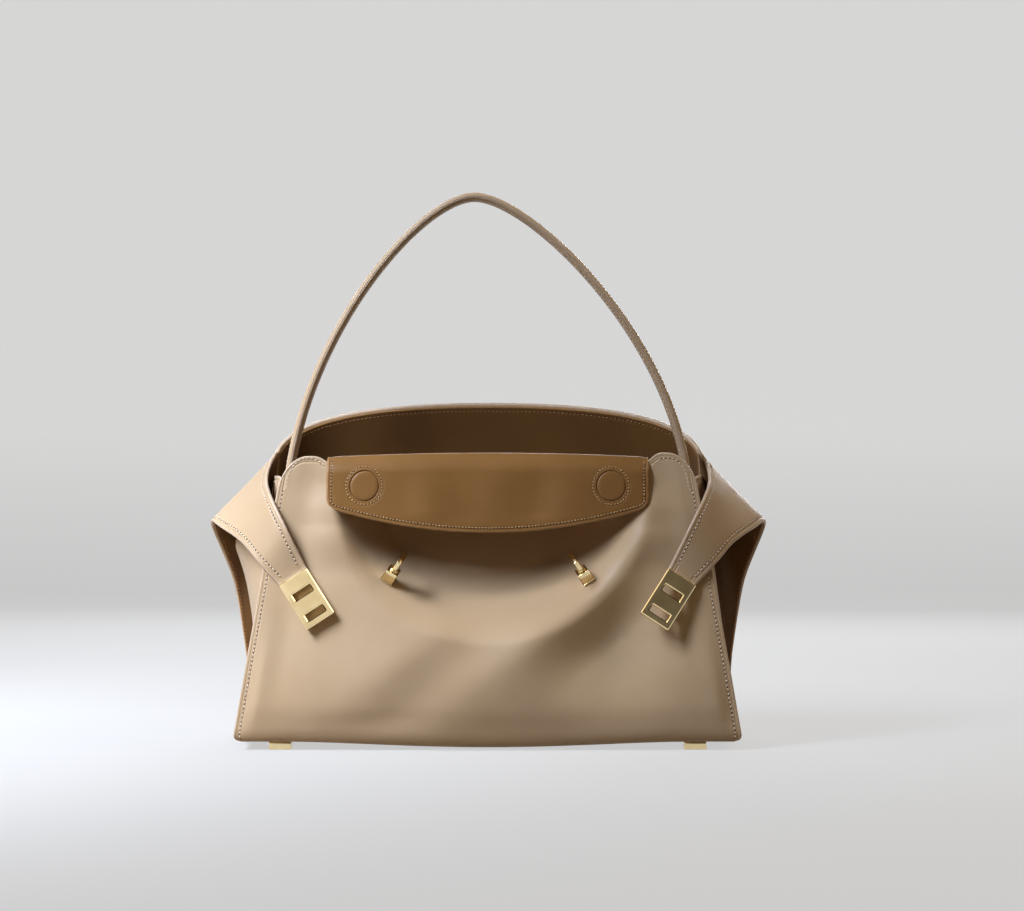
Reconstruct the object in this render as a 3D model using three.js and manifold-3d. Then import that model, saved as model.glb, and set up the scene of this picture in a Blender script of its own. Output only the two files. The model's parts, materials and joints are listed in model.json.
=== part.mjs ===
// A soft leather tote bag that stands open on four metal feet. Its front flap is turned down, one handle
// arches over the mouth, and the back panel's two wings reach round the sides to the front as straps that
// end in slotted metal tips. Two turn locks on the front panel take the slots.
// Millimetres, +Z up. The front faces -Y and the origin is on the ground under the middle of the base.
import * as THREE from "three";
import { mergeVertices } from "three/addons/utils/BufferGeometryUtils.js";
import Module from "manifold-3d";

const wasm = await Module();
wasm.setup();

const { lerp, smoothstep, degToRad } = THREE.MathUtils;

// Driving dimensions: plies and fits
const LEATHER = 1.6;
const LINING = 1.2;
const STIFFENER = 1;
const BOARD = 2.4;
const FIT = 0.3; // clearance between plies that lie on each other
const SEAM_FIT = 0.6; // clearance where the edge of one panel meets the face of another
const SEAM_MARGIN = 6; // a panel's edge stands this far outside the gusset

// Driving dimensions: base and front panel, heights measured from the underside of the base
const BASE_WIDTH = 364;
const BASE_DEPTH = 150;
const BASE_SAG = 4;
const SAG_FADE = 60; // the panels' lower edges follow the sag up to this height
const FRONT_HEIGHT = 197;
const FRONT_TOP_WIDTH = 297; // at the front edge
const FRONT_TOP_REACH = 50; // from the middle of the bag to the front edge
const EAR_WIDTH = 33.5; // a rounded corner beside each end of the flap
const EAR_RISE = 7; // the ears stand above the front edge
const EAR_SLOPE = 6; // width over which the edge climbs to an ear
const EAR_CORNER_WIDTH = 17;
const EAR_CORNER_HEIGHT = 25;
const BELLY = 13;
const BELLY_HEIGHT = 155;
const EDGE_LIFT = 4; // the side seams push the panel's edges forward
const EDGE_LIFT_WIDTH = 28;
const BOWL_DEPTH = 46; // the slack leather falls in under the flap
const BOWL_BELOW_EDGE = 18;
const BOWL_HALF_WIDTH = 100;
const BOWL_DROP = 92;
const BOWL_FLOOR = 0.68; // the bowl's floor ends and its rim ends at these shares of its half sizes
const BOWL_RIM = 1.2;
const BOWL_LIP = 30; // under the front edge the panel runs in over this height

// Driving dimensions: back panel, wings and gussets
const GUSSET_HEIGHT = 189;
const GUSSET_BULGE = 5;
const BACK_HEIGHT = 244;
const BACK_TOP_REACH = 48;
const BACK_BULGE = 12;
const BACK_TOP_FLAT = 0.6; // share of the half width over which the top edge stays level
const BACK_SHOULDER = 0.94; // share of the half width where it turns down to the wing
const BACK_SHOULDER_DROP = 12;
const BACK_SHOULDER_FORWARD = 4;
const BACK_MAGNET_AT = 0.27; // share of the way from the middle to a fold
const STIFFENER_DEPTH = 92; // the back's stiffener hangs this far below the top edge
const WING_STAND_OFF = 13.5; // the wing's fold stands outside the front panel's top corner
const WING_FLARE = 43.5; // the fold's lower end stands out further than its upper end
const WING_ABOVE_GUSSET = 13;
const WING_DROP = 45.5;
const WING_TURN = 12; // length of top edge between the gusset's seam and the fold
const WING_CLIMB = 5.5; // the top edge climbs from the fold to the seam and runs in
const WING_RUN_IN = 2.5;
const FOLD_FORWARD = 2; // the fold's upper end stands this far in front of the bag's middle
const FOLD_SLANT = 2; // and its lower end this much further
const FOLD_GAP = 0.004; // share of an edge left open at the fold, where the strap swings
const WING_LINING_START = 0.08; // the wing's lining stops short of the gusset's seam
const WING_LINING_INSET = 0.02; // and of its own two edges

// How the wing's and the strap's soft edges hang: the share of the way between two ends, and the shift there
// along X, Y and Z as shares of the distance between them
const WING_TOP_HANG = [[0.33, 0, 0, 0.022], [0.66, 0, 0, 0.022]];
const WING_LOW_HANG = [[0.33, 0.029, 0.063, 0.012], [0.7, 0.035, 0.104, 0]];
const STRAP_TOP_HANG = [
  [0.25, -0.085, -0.07, 0.066],
  [0.5, -0.11, -0.18, 0.123],
  [0.78, -0.075, -0.15, 0.113],
];
const STRAP_LOW_HANG = [
  [0.3, -0.063, -0.106, 0.106],
  [0.55, -0.032, -0.148, 0.106],
  [0.8, -0.032, -0.106, 0.063],
];

// Driving dimensions: flap
const FLAP_LENGTH = 51;
const FLAP_SHORTER_ENDS = 17;
const FLAP_CORNER = 6;
const FLAP_FOLD_HEIGHT = 4.5; // fold line above the front edge
const FLAP_FOLD_BACK = 0.5; // and behind it
const FLAP_HANG = 11; // the hanging edge stands in front of the fold line
const FLAP_BEND = 5.5; // the leather turns down within this distance of the fold line
const MAGNET_DIAMETER = 18;
const MAGNET_THICKNESS = 0.7;
const MAGNET_FROM_END = 26; // from the flap's end to the middle of a magnet
const MAGNET_DOWN = 21; // from the fold line
const FLAP_STIFFENER_TOP = 0.1; // shares of the flap's length where its stiffener starts and ends
const FLAP_STIFFENER_END = 0.94;

// Driving dimensions: handle
const HANDLE_BELOW_EDGE = 2; // the handle swings about a line just below the gusset's edge
const HANDLE_APEX_HEIGHT = 395;
const HANDLE_APEX_SHIFT = -10; // the arch leans a little to the left
const HANDLE_WIDTH = 18;
const HANDLE_THICKNESS = 6.6;
const HANDLE_CORE_WIDTH = 12;
const HANDLE_CORE_THICKNESS = 3;
const HANDLE_LAP = 4; // the handle's end reaches below the pivot, beside its tab
const HANDLE_SIDE_FIT = 1.3; // gap beside the tab, where the handle's end leans toward it
const HANDLE_KNEE = 0.75; // the back comes nearest the slanting tab at this share of its half sizes
const LEG_SLOPE = 0.06; // sideways share of the legs' direction
const LEG_REACH = 0.52; // how far the legs' and the crown's directions carry, as shares of the rise and span
const SHOULDER_REACH = 0.27;
const TAB_WIDTH = 22;
const TAB_LENGTH = 42;
const TAB = 2;

// Driving dimensions: strap tips
const TIP_WIDTH = 23.4;
const TIP_LENGTH = 38.5;
const TIP_WALL = 0.9;
const TIP_CORNER = 1.2;
const TIP_CHAMFER = 0.5;
const TIP_FROM_MIDDLE = 128.5;
const TIP_HEIGHT = 101;
const TIP_LEAN = 33; // degrees from upright
const TIP_STAND_OFF = 3; // gap between the tip and the front panel
const SLOT_LENGTH = 14.9;
const SLOT_WIDTH = 5.5;
const SLOT_SPACING = 17.4;
const SLOT_SHIFT = -3.2; // the pair of slots sits toward the free end
const TONGUE = 7.5; // the strap goes this far into the tip
const MOUTH_LEAD = 2; // it runs straight for this length before the mouth
const TIP_SCREW_SPACING = 12;
const SCREW_SHANK = 2;
const SCREW_HEAD = 3.6;
const SCREW_HEAD_HEIGHT = 0.8;

// Driving dimensions: turn locks
const LOCK_FROM_MIDDLE = 72.5;
const LOCK_BELOW_EDGE = 82; // down from the front edge
const LOCK_FLANGE = 9.8;
const LOCK_FLANGE_THICKNESS = 1.2;
const LOCK_COLLAR = 8.6;
const LOCK_COLLAR_HEIGHT = 9;
const LOCK_CHAMFER = 0.4;
const SPINDLE = 4;
const SPINDLE_END = 6.4; // diameter of the ring on the spindle and of its riveted end
const SPINDLE_RING = 1.4;
const NECK = 3;
const PADDLE_WIDTH = 14;
const PADDLE_THICKNESS = 3.6;
const PADDLE_HEIGHT = 9;
const WASHER = 9;
const WASHER_THICKNESS = 1;

// Driving dimensions: feet
const FOOT_HEIGHT = 6;
const FOOT_WIDTH = 16;
const FOOT_CHAMFER = 1;
const FOOT_FROM_SIDE = 33; // from the base's side edge to the middle of a foot
const FOOT_FROM_FRONT = 15;
const FOOT_SCREW = 4;
const FOOT_SCREW_HEAD = 9;
const FOOT_SCREW_HEAD_HEIGHT = 1.2;
const FOOT_SCREW_DEPTH = 3.5;

// Fineness of the meshes
const LINING_TOP = 0.985; // share of a panel's height that its lining reaches
const SHORTEST_STEP = 0.017; // share of a ply's width
const CORNER_STEPS = [0.5, 0.85, 1]; // shares of a rounded corner
const SLOPE_STEP = 0.6;
const ROUND_SIDES = 10;
const HANDLE_STEPS = 28;
const BASE_COLUMNS = 5;
const FRONT_COLUMNS = 7;
const FRONT_ROWS = 12;
const BACK_COLUMNS = 7;
const BACK_ROWS = 8;
const WING_COLUMNS = 7;
const GUSSET_STEPS = 6;
const STRAP_COLUMNS = 12;
const STRAP_ROWS = 3;
const FLAP_COLUMNS = 5;
const FLAP_ROWS = 5;

// Values that follow from the driving dimensions
const boardLow = LEATHER + FIT;
const panelLow = LEATHER + SEAM_FIT;
const boardTop = boardLow + BOARD;
const floorTop = boardTop + FIT + LINING;
const halfFront = FRONT_TOP_WIDTH / 2;
const halfFlap = halfFront - EAR_WIDTH;
const bowlHeight = FRONT_HEIGHT - BOWL_BELOW_EDGE;
const lockHeight = FRONT_HEIGHT - LOCK_BELOW_EDGE;
const wingTopHeight = GUSSET_HEIGHT + WING_ABOVE_GUSSET;
const pivotHeight = GUSSET_HEIGHT - HANDLE_BELOW_EDGE;
const strapThickness = LEATHER + FIT + LINING;
const flapThickness = LINING + FIT + STIFFENER + FIT + LINING;
const tipThickness = strapThickness + 2 * FIT + 2 * TIP_WALL;
const footX = BASE_WIDTH / 2 - FOOT_FROM_SIDE;
const footY = BASE_DEPTH / 2 - FOOT_FROM_FRONT;

// Materials
const tan = new THREE.MeshStandardMaterial({ color: 0xc9ad8c, roughness: 0.55 });
const brown = new THREE.MeshStandardMaterial({ color: 0x8a6238, roughness: 0.6 });
const gold = new THREE.MeshStandardMaterial({ color: 0xd9bd83, roughness: 0.3, metalness: 1 });
const steel = new THREE.MeshStandardMaterial({ color: 0x9a9a98, roughness: 0.4, metalness: 1 });
const fibre = new THREE.MeshStandardMaterial({ color: 0x6e5f4c, roughness: 0.9 });

function mesh(name, geometry, material) {
  const piece = new THREE.Mesh(geometry, material);
  piece.name = name;
  return piece;
}

function evenSteps(from, to, count) {
  return Array.from({ length: count + 1 }, (unused, i) => lerp(from, to, i / count));
}

// The steps that lie between two limits, with the limits as ends, so that plies share their facets
function stepsWithin(steps, low, high) {
  const margin = (high - low) * SHORTEST_STEP;
  return [low, ...steps.filter((step) => step > low + margin && step < high - margin), high];
}

// Steps from 0 to each side, in mirror image
function bothSides(steps) {
  return [...steps.slice(1).map((step) => -step).reverse(), ...steps];
}

// Closed solids for cutting and joining
function toSolid(geometry) {
  const bare = new THREE.BufferGeometry();
  bare.setAttribute("position", geometry.getAttribute("position"));
  bare.setIndex(geometry.getIndex());
  const merged = mergeVertices(bare, 1e-4);
  return new wasm.Manifold(new wasm.Mesh({
    numProp: 3,
    vertProperties: new Float32Array(merged.getAttribute("position").array),
    triVerts: new Uint32Array(merged.getIndex().array),
  }));
}

function toGeometry(solid) {
  const result = solid.getMesh();
  const geometry = new THREE.BufferGeometry();
  geometry.setAttribute("position", new THREE.BufferAttribute(result.vertProperties, 3));
  geometry.setIndex(new THREE.BufferAttribute(result.triVerts, 1));
  return geometry;
}

function cut(geometry, ...tools) {
  return toGeometry(tools.reduce((solid, tool) => solid.subtract(toSolid(tool)), toSolid(geometry)));
}

function join(geometry, ...others) {
  return toGeometry(others.reduce((solid, other) => solid.add(toSolid(other)), toSolid(geometry)));
}

function mirrored(geometry) {
  const copy = geometry.clone().scale(-1, 1, 1);
  const order = copy.getIndex().array;
  for (let i = 0; i < order.length; i += 3) {
    [order[i], order[i + 1]] = [order[i + 1], order[i]];
  }
  return copy;
}

// A cylinder along Z between two heights
function rod(diameter, low, high) {
  const geometry = new THREE.CylinderGeometry(diameter / 2, diameter / 2, high - low, ROUND_SIDES);
  geometry.rotateX(Math.PI / 2);
  geometry.translate(0, 0, (low + high) / 2);
  return geometry;
}

function roundedRectangle(width, height, radius) {
  const x = width / 2;
  const y = height / 2;
  const shape = new THREE.Shape();
  shape.moveTo(-x + radius, -y);
  shape.lineTo(x - radius, -y);
  shape.absarc(x - radius, -y + radius, radius, -Math.PI / 2, 0);
  shape.lineTo(x, y - radius);
  shape.absarc(x - radius, y - radius, radius, 0, Math.PI / 2);
  shape.lineTo(-x + radius, y);
  shape.absarc(-x + radius, y - radius, radius, Math.PI / 2, Math.PI);
  shape.lineTo(-x, -y + radius);
  shape.absarc(-x + radius, -y + radius, radius, Math.PI, Math.PI * 1.5);
  return shape;
}

// A block with rounded corners and chamfered top and bottom edges, between two heights
function chamferedBlock(width, depth, radius, chamfer, low, high) {
  const outline = roundedRectangle(width - 2 * chamfer, depth - 2 * chamfer, radius);
  const geometry = new THREE.ExtrudeGeometry(outline, {
    depth: high - low - 2 * chamfer,
    bevelThickness: chamfer,
    bevelSize: chamfer,
    bevelSegments: 1,
    curveSegments: 2,
  });
  geometry.translate(0, 0, low + chamfer);
  return geometry;
}

// The outward direction of a surface given as a function of two parameters
function surfaceNormal(surface, u, v) {
  const step = 0.002;
  const alongU = surface(u + step, v).sub(surface(u - step, v));
  const alongV = surface(u, v + step).sub(surface(u, v - step));
  return alongU.cross(alongV).normalize();
}

// A ply of leather: the closed solid between two distances from a surface, inward distances negative
function ply(surface, outer, inner, us, vs) {
  const positions = [];
  const index = [];
  const columns = us.length;
  const rows = vs.length;
  for (const distance of [outer, inner]) {
    for (const v of vs) {
      for (const u of us) {
        const point = surface(u, v).addScaledVector(surfaceNormal(surface, u, v), distance);
        positions.push(point.x, point.y, point.z);
      }
    }
  }
  const innerStart = columns * rows;
  const at = (column, row) => row * columns + column;
  const quad = (a, b, c, d) => index.push(a, b, c, a, c, d);
  for (let row = 0; row + 1 < rows; row++) {
    for (let column = 0; column + 1 < columns; column++) {
      const [a, b] = [at(column, row), at(column + 1, row)];
      const [d, c] = [at(column, row + 1), at(column + 1, row + 1)];
      quad(a, b, c, d);
      quad(a + innerStart, d + innerStart, c + innerStart, b + innerStart);
    }
  }
  const around = [];
  for (let column = 0; column + 1 < columns; column++) around.push(at(column, 0));
  for (let row = 0; row + 1 < rows; row++) around.push(at(columns - 1, row));
  for (let column = columns - 1; column > 0; column--) around.push(at(column, rows - 1));
  for (let row = rows - 1; row > 0; row--) around.push(at(0, row));
  around.forEach((corner, i) => {
    const next = around[(i + 1) % around.length];
    quad(next, corner, corner + innerStart, next + innerStart);
  });
  const geometry = new THREE.BufferGeometry();
  geometry.setAttribute("position", new THREE.Float32BufferAttribute(positions, 3));
  geometry.setIndex(index);
  return geometry;
}

// A group whose Z is a given direction and whose Y lies as near as it can to another
function facing(origin, outward, upward) {
  const x = new THREE.Vector3().crossVectors(upward, outward).normalize();
  const y = new THREE.Vector3().crossVectors(outward, x);
  const group = new THREE.Group();
  group.position.copy(origin);
  group.quaternion.setFromRotationMatrix(new THREE.Matrix4().makeBasis(x, y, outward));
  group.updateMatrixWorld();
  return group;
}

// The base sags between the feet, and the panels' lower edges go with it
function sag(x) {
  const share = Math.min(1, Math.abs(x) / footX);
  return BASE_SAG * (1 - share ** 2) ** 2;
}

// Front panel's outer face at a distance from the middle and a height
function frontHalfWidth(height) {
  return lerp(BASE_WIDTH / 2, halfFront, height / FRONT_HEIGHT);
}

function frontAt(x, height) {
  const halfWidth = frontHalfWidth(height);
  const lean = lerp(BASE_DEPTH / 2, FRONT_TOP_REACH, height / FRONT_HEIGHT);
  const rise = Math.min(1, height / BELLY_HEIGHT);
  const belly = BELLY * Math.sin(Math.PI * rise) * (1 - Math.min(1, Math.abs(x) / halfWidth) ** 2);
  const nearEdge = smoothstep(Math.abs(x), halfWidth - EDGE_LIFT_WIDTH, halfWidth);
  const edge = EDGE_LIFT * nearEdge * smoothstep(height, 0, SAG_FADE);
  const ring = Math.hypot(x / BOWL_HALF_WIDTH, (height - bowlHeight) / BOWL_DROP);
  const lip = 1 - smoothstep(height, FRONT_HEIGHT - BOWL_LIP, FRONT_HEIGHT);
  const bowl = BOWL_DEPTH * (1 - smoothstep(ring, BOWL_FLOOR, BOWL_RIM)) * lip;
  const z = height - sag(x) * (1 - smoothstep(height, 0, SAG_FADE));
  return new THREE.Vector3(x, bowl - lean - belly - edge, z);
}

function frontTop(across) {
  const x = Math.abs(across) * halfFront;
  const corner = Math.max(0, x - halfFront + EAR_CORNER_WIDTH) / EAR_CORNER_WIDTH;
  const rounding = EAR_CORNER_HEIGHT * (1 - Math.sqrt(1 - Math.min(1, corner) ** 2));
  return FRONT_HEIGHT + EAR_RISE * smoothstep(x, halfFlap + FIT, halfFlap + EAR_SLOPE) - rounding;
}

function frontSurface(across, up) {
  const height = lerp(panelLow, frontTop(across), up);
  return frontAt(across * frontHalfWidth(height), height);
}

function frontNormal(x, height) {
  return surfaceNormal(frontAt, x, height);
}

// Strap tips: each lies in front of the front panel, square to it
const tipCentre = frontAt(-TIP_FROM_MIDDLE, TIP_HEIGHT);
const tipOutward = frontNormal(-TIP_FROM_MIDDLE, TIP_HEIGHT);
tipCentre.addScaledVector(tipOutward, TIP_STAND_OFF + tipThickness / 2);
const tipLean = degToRad(TIP_LEAN);
const tipUpward = new THREE.Vector3(-Math.sin(tipLean), 0, Math.cos(tipLean));
const tipFrame = facing(tipCentre, tipOutward, tipUpward);
const tongueHalfWidth = TIP_WIDTH / 2 - TIP_WALL - FIT;

function onStrapEnd(side, along) {
  return tipFrame.localToWorld(new THREE.Vector3(side * tongueHalfWidth, along, strapThickness / 2));
}

// The left wing is ruled between a top edge and a lower edge, which run on as the strap's two edges
const foldTop = new THREE.Vector3(-halfFront - WING_STAND_OFF, -FOLD_FORWARD, wingTopHeight);
const foldLow = foldTop.clone().add(new THREE.Vector3(-WING_FLARE, -FOLD_SLANT, -WING_DROP));
const seamTop = foldTop.clone().add(new THREE.Vector3(WING_RUN_IN, WING_TURN, WING_CLIMB));
const baseCorner = new THREE.Vector3(-BASE_WIDTH / 2, BASE_DEPTH / 2, panelLow);
const strapMouth = TIP_LENGTH / 2 + MOUTH_LEAD;
const mouthTop = onStrapEnd(1, strapMouth);
const mouthLow = onStrapEnd(-1, strapMouth);

// Points between two ends, each shifted from the straight line
function hanging(from, to, hang) {
  const distance = from.distanceTo(to);
  return hang.map(([share, ...shift]) => {
    return from.clone().lerp(to, share).addScaledVector(new THREE.Vector3(...shift), distance);
  });
}

const topEdge = new THREE.CatmullRomCurve3([
  seamTop,
  ...hanging(seamTop, foldTop, WING_TOP_HANG),
  foldTop,
  ...hanging(foldTop, mouthTop, STRAP_TOP_HANG),
  mouthTop,
]);
const lowEdge = new THREE.CatmullRomCurve3([
  baseCorner,
  ...hanging(baseCorner, foldLow, WING_LOW_HANG),
  foldLow,
  ...hanging(foldLow, mouthLow, STRAP_LOW_HANG),
  mouthLow,
]);
const foldShare = (WING_TOP_HANG.length + 1) / (topEdge.points.length - 1);

// Along 0 to 1 the wing runs from the gusset's seam to the tip's mouth, and then as a flat tongue
function wingSurface(along, up) {
  const past = Math.max(0, along - 1);
  const share = Math.min(1, Math.max(0, along));
  const low = lowEdge.getPoint(share);
  const top = topEdge.getPoint(share);
  if (past > 0) {
    low.copy(onStrapEnd(-1, strapMouth - past * TIP_LENGTH));
    top.copy(onStrapEnd(1, strapMouth - past * TIP_LENGTH));
  }
  return low.lerp(top, up);
}

// The back panel's top edge from its middle to the gusset's seam
const backTop = new THREE.CubicBezierCurve3(
  new THREE.Vector3(0, BACK_TOP_REACH, BACK_HEIGHT),
  new THREE.Vector3(seamTop.x * BACK_TOP_FLAT, BACK_TOP_REACH, BACK_HEIGHT),
  new THREE.Vector3(
    seamTop.x * BACK_SHOULDER, BACK_TOP_REACH - BACK_SHOULDER_FORWARD, BACK_HEIGHT - BACK_SHOULDER_DROP,
  ),
  seamTop,
);

// Back panel's outer face with both wings: -1 is the right fold, 0 the middle and 1 the left fold
const SEAM_AT = 0.7; // the gusset's seam on that scale
function backSurface(along, up) {
  const side = along < 0 ? -1 : 1;
  const reach = Math.abs(along);
  let point;
  if (reach > SEAM_AT) {
    point = wingSurface((reach - SEAM_AT) / (1 - SEAM_AT) * foldShare, up);
  } else {
    const share = reach / SEAM_AT;
    const top = backTop.getPoint(share);
    const x = baseCorner.x * top.x / seamTop.x;
    point = new THREE.Vector3(x, baseCorner.y, panelLow).lerp(top, up);
    point.y += BACK_BULGE * Math.sin(Math.PI * up) * (1 - share ** 2);
    point.z -= sag(x) * (1 - smoothstep(point.z, 0, SAG_FADE));
  }
  point.x *= side;
  return point;
}

// Left gusset's outer face: 0 is its back seam and 1 its front seam
function gussetAt(along, height) {
  const up = (height - panelLow) / (seamTop.z - panelLow);
  const back = backSurface(SEAM_AT, up);
  back.addScaledVector(surfaceNormal(backSurface, SEAM_AT, up), -LEATHER - SEAM_FIT);
  const frontX = SEAM_MARGIN - frontHalfWidth(height);
  const front = frontAt(frontX, height);
  front.addScaledVector(frontNormal(frontX, height), -LEATHER - SEAM_FIT);
  const point = back.lerp(front, along);
  point.x -= GUSSET_BULGE * Math.sin(Math.PI * along);
  point.z = height;
  return point;
}

function gussetSurface(along, up) {
  return gussetAt(along, lerp(panelLow, GUSSET_HEIGHT, up));
}

// A handle tab lies inside the middle of each gusset's lining, with its top at the handle's pivot
const gussetDepth = gussetAt(0, GUSSET_HEIGHT).distanceTo(gussetAt(1, GUSSET_HEIGHT));
const tabTop = (pivotHeight - panelLow) / (GUSSET_HEIGHT - panelLow);
const tabInner = -strapThickness - FIT - TAB;

// Flap's middle surface, which hangs from the fold line
const flapFold = new THREE.Vector2(FLAP_FOLD_BACK - FRONT_TOP_REACH, FRONT_HEIGHT + FLAP_FOLD_HEIGHT);
const flapTurn = new THREE.Vector2(flapFold.x - FLAP_BEND, flapFold.y - FLAP_BEND);
const flapEnd = new THREE.Vector2(flapFold.x - FLAP_HANG, flapFold.y - FLAP_LENGTH);
const flapStraight = flapTurn.clone().lerp(flapEnd, FLAP_BEND / FLAP_LENGTH);
const flapDrop = new THREE.CurvePath();
flapDrop.add(new THREE.QuadraticBezierCurve(flapFold, flapTurn, flapStraight));
flapDrop.add(new THREE.LineCurve(flapStraight, flapEnd));

function flapSurface(across, down) {
  const x = across * halfFlap;
  const corner = Math.max(0, Math.abs(x) - halfFlap + FLAP_CORNER) / FLAP_CORNER;
  const rounding = FLAP_CORNER * (1 - Math.sqrt(1 - Math.min(1, corner) ** 2));
  const length = FLAP_LENGTH - FLAP_SHORTER_ENDS * across ** 2 - rounding;
  const point = flapDrop.getPoint(Math.min(1, Math.max(0, down * length / FLAP_LENGTH)));
  return new THREE.Vector3(-x, point.x, point.y);
}

// Base: three plies that sag together between the feet
function baseSurface(x, y) {
  return new THREE.Vector3(x, y, -sag(x));
}

function basePly(halfWidth, halfDepth, low, high) {
  const columns = stepsWithin(bothSides(evenSteps(0, footX, BASE_COLUMNS)), -halfWidth, halfWidth);
  return ply(baseSurface, high, low, columns, [-halfDepth, 0, halfDepth]);
}

function atFeet(geometry) {
  return [-1, 1].flatMap((sideX) => [-1, 1].map((sideY) => {
    return geometry.clone().translate(sideX * footX, sideY * footY, 0);
  }));
}

function makeBase() {
  const group = new THREE.Group();
  const halfWidth = BASE_WIDTH / 2 - SEAM_MARGIN - strapThickness - SEAM_FIT;
  const halfDepth = BASE_DEPTH / 2 - LEATHER - 2 * SEAM_FIT;
  const shanks = atFeet(rod(FOOT_SCREW + 2 * FIT, -FOOT_HEIGHT, floorTop));
  const headSeat = boardTop - FOOT_SCREW_HEAD_HEIGHT - FIT;
  const heads = atFeet(rod(FOOT_SCREW_HEAD + 2 * FIT, headSeat, floorTop));
  const panel = basePly(BASE_WIDTH / 2, BASE_DEPTH / 2, 0, LEATHER);
  const board = basePly(halfWidth, halfDepth, boardLow, boardTop);
  const cover = basePly(halfWidth, halfDepth, boardTop + FIT, floorTop);
  group.add(mesh("base_panel", cut(panel, ...shanks), tan));
  group.add(mesh("base_board", cut(board, ...shanks, ...heads), fibre));
  group.add(mesh("base_lining", cover, brown));
  return group;
}

// Feet: chamfered blocks, each held by a screw whose head lies in the base board
function makeFeet() {
  const group = new THREE.Group();
  const screwEnd = -FIT - FOOT_SCREW_DEPTH;
  const block = chamferedBlock(FOOT_WIDTH, FOOT_WIDTH, FOOT_CHAMFER, FOOT_CHAMFER, -FOOT_HEIGHT, -FIT);
  const hole = rod(FOOT_SCREW + 2 * FIT, screwEnd - FIT, FIT);
  const footGeometry = cut(block, hole);
  const shank = rod(FOOT_SCREW, screwEnd, boardTop - FOOT_SCREW_HEAD_HEIGHT / 2);
  const head = rod(FOOT_SCREW_HEAD, boardTop - FOOT_SCREW_HEAD_HEIGHT, boardTop);
  const screwGeometry = join(shank, head);
  for (const [sideX, nameX] of [[-1, "left"], [1, "right"]]) {
    for (const [sideY, nameY] of [[-1, "front"], [1, "back"]]) {
      const foot = mesh(`foot_${nameY}_${nameX}`, footGeometry, gold);
      const screw = mesh(`foot_screw_${nameY}_${nameX}`, screwGeometry, steel);
      foot.position.set(sideX * footX, sideY * footY, 0);
      screw.position.copy(foot.position);
      group.add(foot, screw);
    }
  }
  return group;
}

// Turn locks sit square on the slope of the front panel, with their paddles across the bag's depth
const lockFrame = facing(
  frontAt(-LOCK_FROM_MIDDLE, lockHeight),
  frontNormal(-LOCK_FROM_MIDDLE, lockHeight),
  new THREE.Vector3(0, 1, 0),
);

function lockBores() {
  const left = rod(SPINDLE + 4 * FIT, -4 * strapThickness, 4 * strapThickness);
  left.applyMatrix4(lockFrame.matrixWorld);
  return [left, mirrored(left)];
}

function makeLock(side) {
  const group = lockFrame.clone();
  const collarLow = SEAM_FIT + LOCK_FLANGE_THICKNESS;
  const collarTop = collarLow + LOCK_COLLAR_HEIGHT;
  const flange = chamferedBlock(LOCK_FLANGE, LOCK_FLANGE, LOCK_CHAMFER, LOCK_CHAMFER, SEAM_FIT, collarLow);
  const collarFoot = collarLow - LOCK_FLANGE_THICKNESS / 2;
  const collar = chamferedBlock(LOCK_COLLAR, LOCK_COLLAR, LOCK_CHAMFER, LOCK_CHAMFER, collarFoot, collarTop);
  const bore = rod(SPINDLE + 2 * FIT, 0, collarTop + FIT);
  group.add(mesh(`${side}_lock_base`, cut(join(flange, collar), bore), gold));
  const washerTop = -strapThickness - 3 * SEAM_FIT;
  const washerLow = washerTop - WASHER_THICKNESS;
  const washer = rod(WASHER, washerLow, washerTop);
  const washerHole = rod(SPINDLE + 2 * FIT, washerLow - FIT, washerTop + FIT);
  group.add(mesh(`${side}_lock_washer`, cut(washer, washerHole), steel));
  const ringLow = collarTop + FIT;
  const neckTop = ringLow + SPINDLE_RING + NECK;
  const paddleTop = neckTop + PADDLE_HEIGHT;
  const rivetTop = washerLow - FIT;
  const spindle = rod(SPINDLE, rivetTop - SPINDLE_RING / 2, neckTop + PADDLE_HEIGHT / 2);
  const ring = rod(SPINDLE_END, ringLow, ringLow + SPINDLE_RING);
  const rivet = rod(SPINDLE_END, rivetTop - SPINDLE_RING, rivetTop);
  const edge = LOCK_CHAMFER;
  const paddle = chamferedBlock(PADDLE_THICKNESS, PADDLE_WIDTH, edge, edge, neckTop, paddleTop);
  group.add(mesh(`${side}_lock_toggle`, join(paddle, spindle, ring, rivet), gold));
  return group;
}

// Front panel and its lining
function makeFront() {
  const group = new THREE.Group();
  const earStart = (halfFlap + FIT) / halfFront;
  const cornerStart = 1 - EAR_CORNER_WIDTH / halfFront;
  const slope = [SLOPE_STEP, 1].map((share) => lerp(earStart, cornerStart, share));
  const corner = CORNER_STEPS.map((share) => lerp(cornerStart, 1, share));
  const columns = bothSides([...evenSteps(0, earStart, FRONT_COLUMNS), ...slope, ...corner]);
  const rows = [...evenSteps(0, LINING_TOP, FRONT_ROWS), 1];
  const panel = ply(frontSurface, 0, -LEATHER, columns, rows);
  group.add(mesh("front_panel", cut(panel, ...lockBores()), tan));
  const inset = 1 - (SEAM_MARGIN + strapThickness + 3 * SEAM_FIT) / halfFront;
  const floorShare = (floorTop + SEAM_FIT - panelLow) / (FRONT_HEIGHT - panelLow);
  const liningColumns = stepsWithin(columns, -inset, inset);
  const liningRows = stepsWithin(rows, floorShare, LINING_TOP);
  const lining = ply(frontSurface, -LEATHER - FIT, -strapThickness, liningColumns, liningRows);
  group.add(mesh("front_lining", cut(lining, ...lockBores()), brown));
  return group;
}

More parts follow.
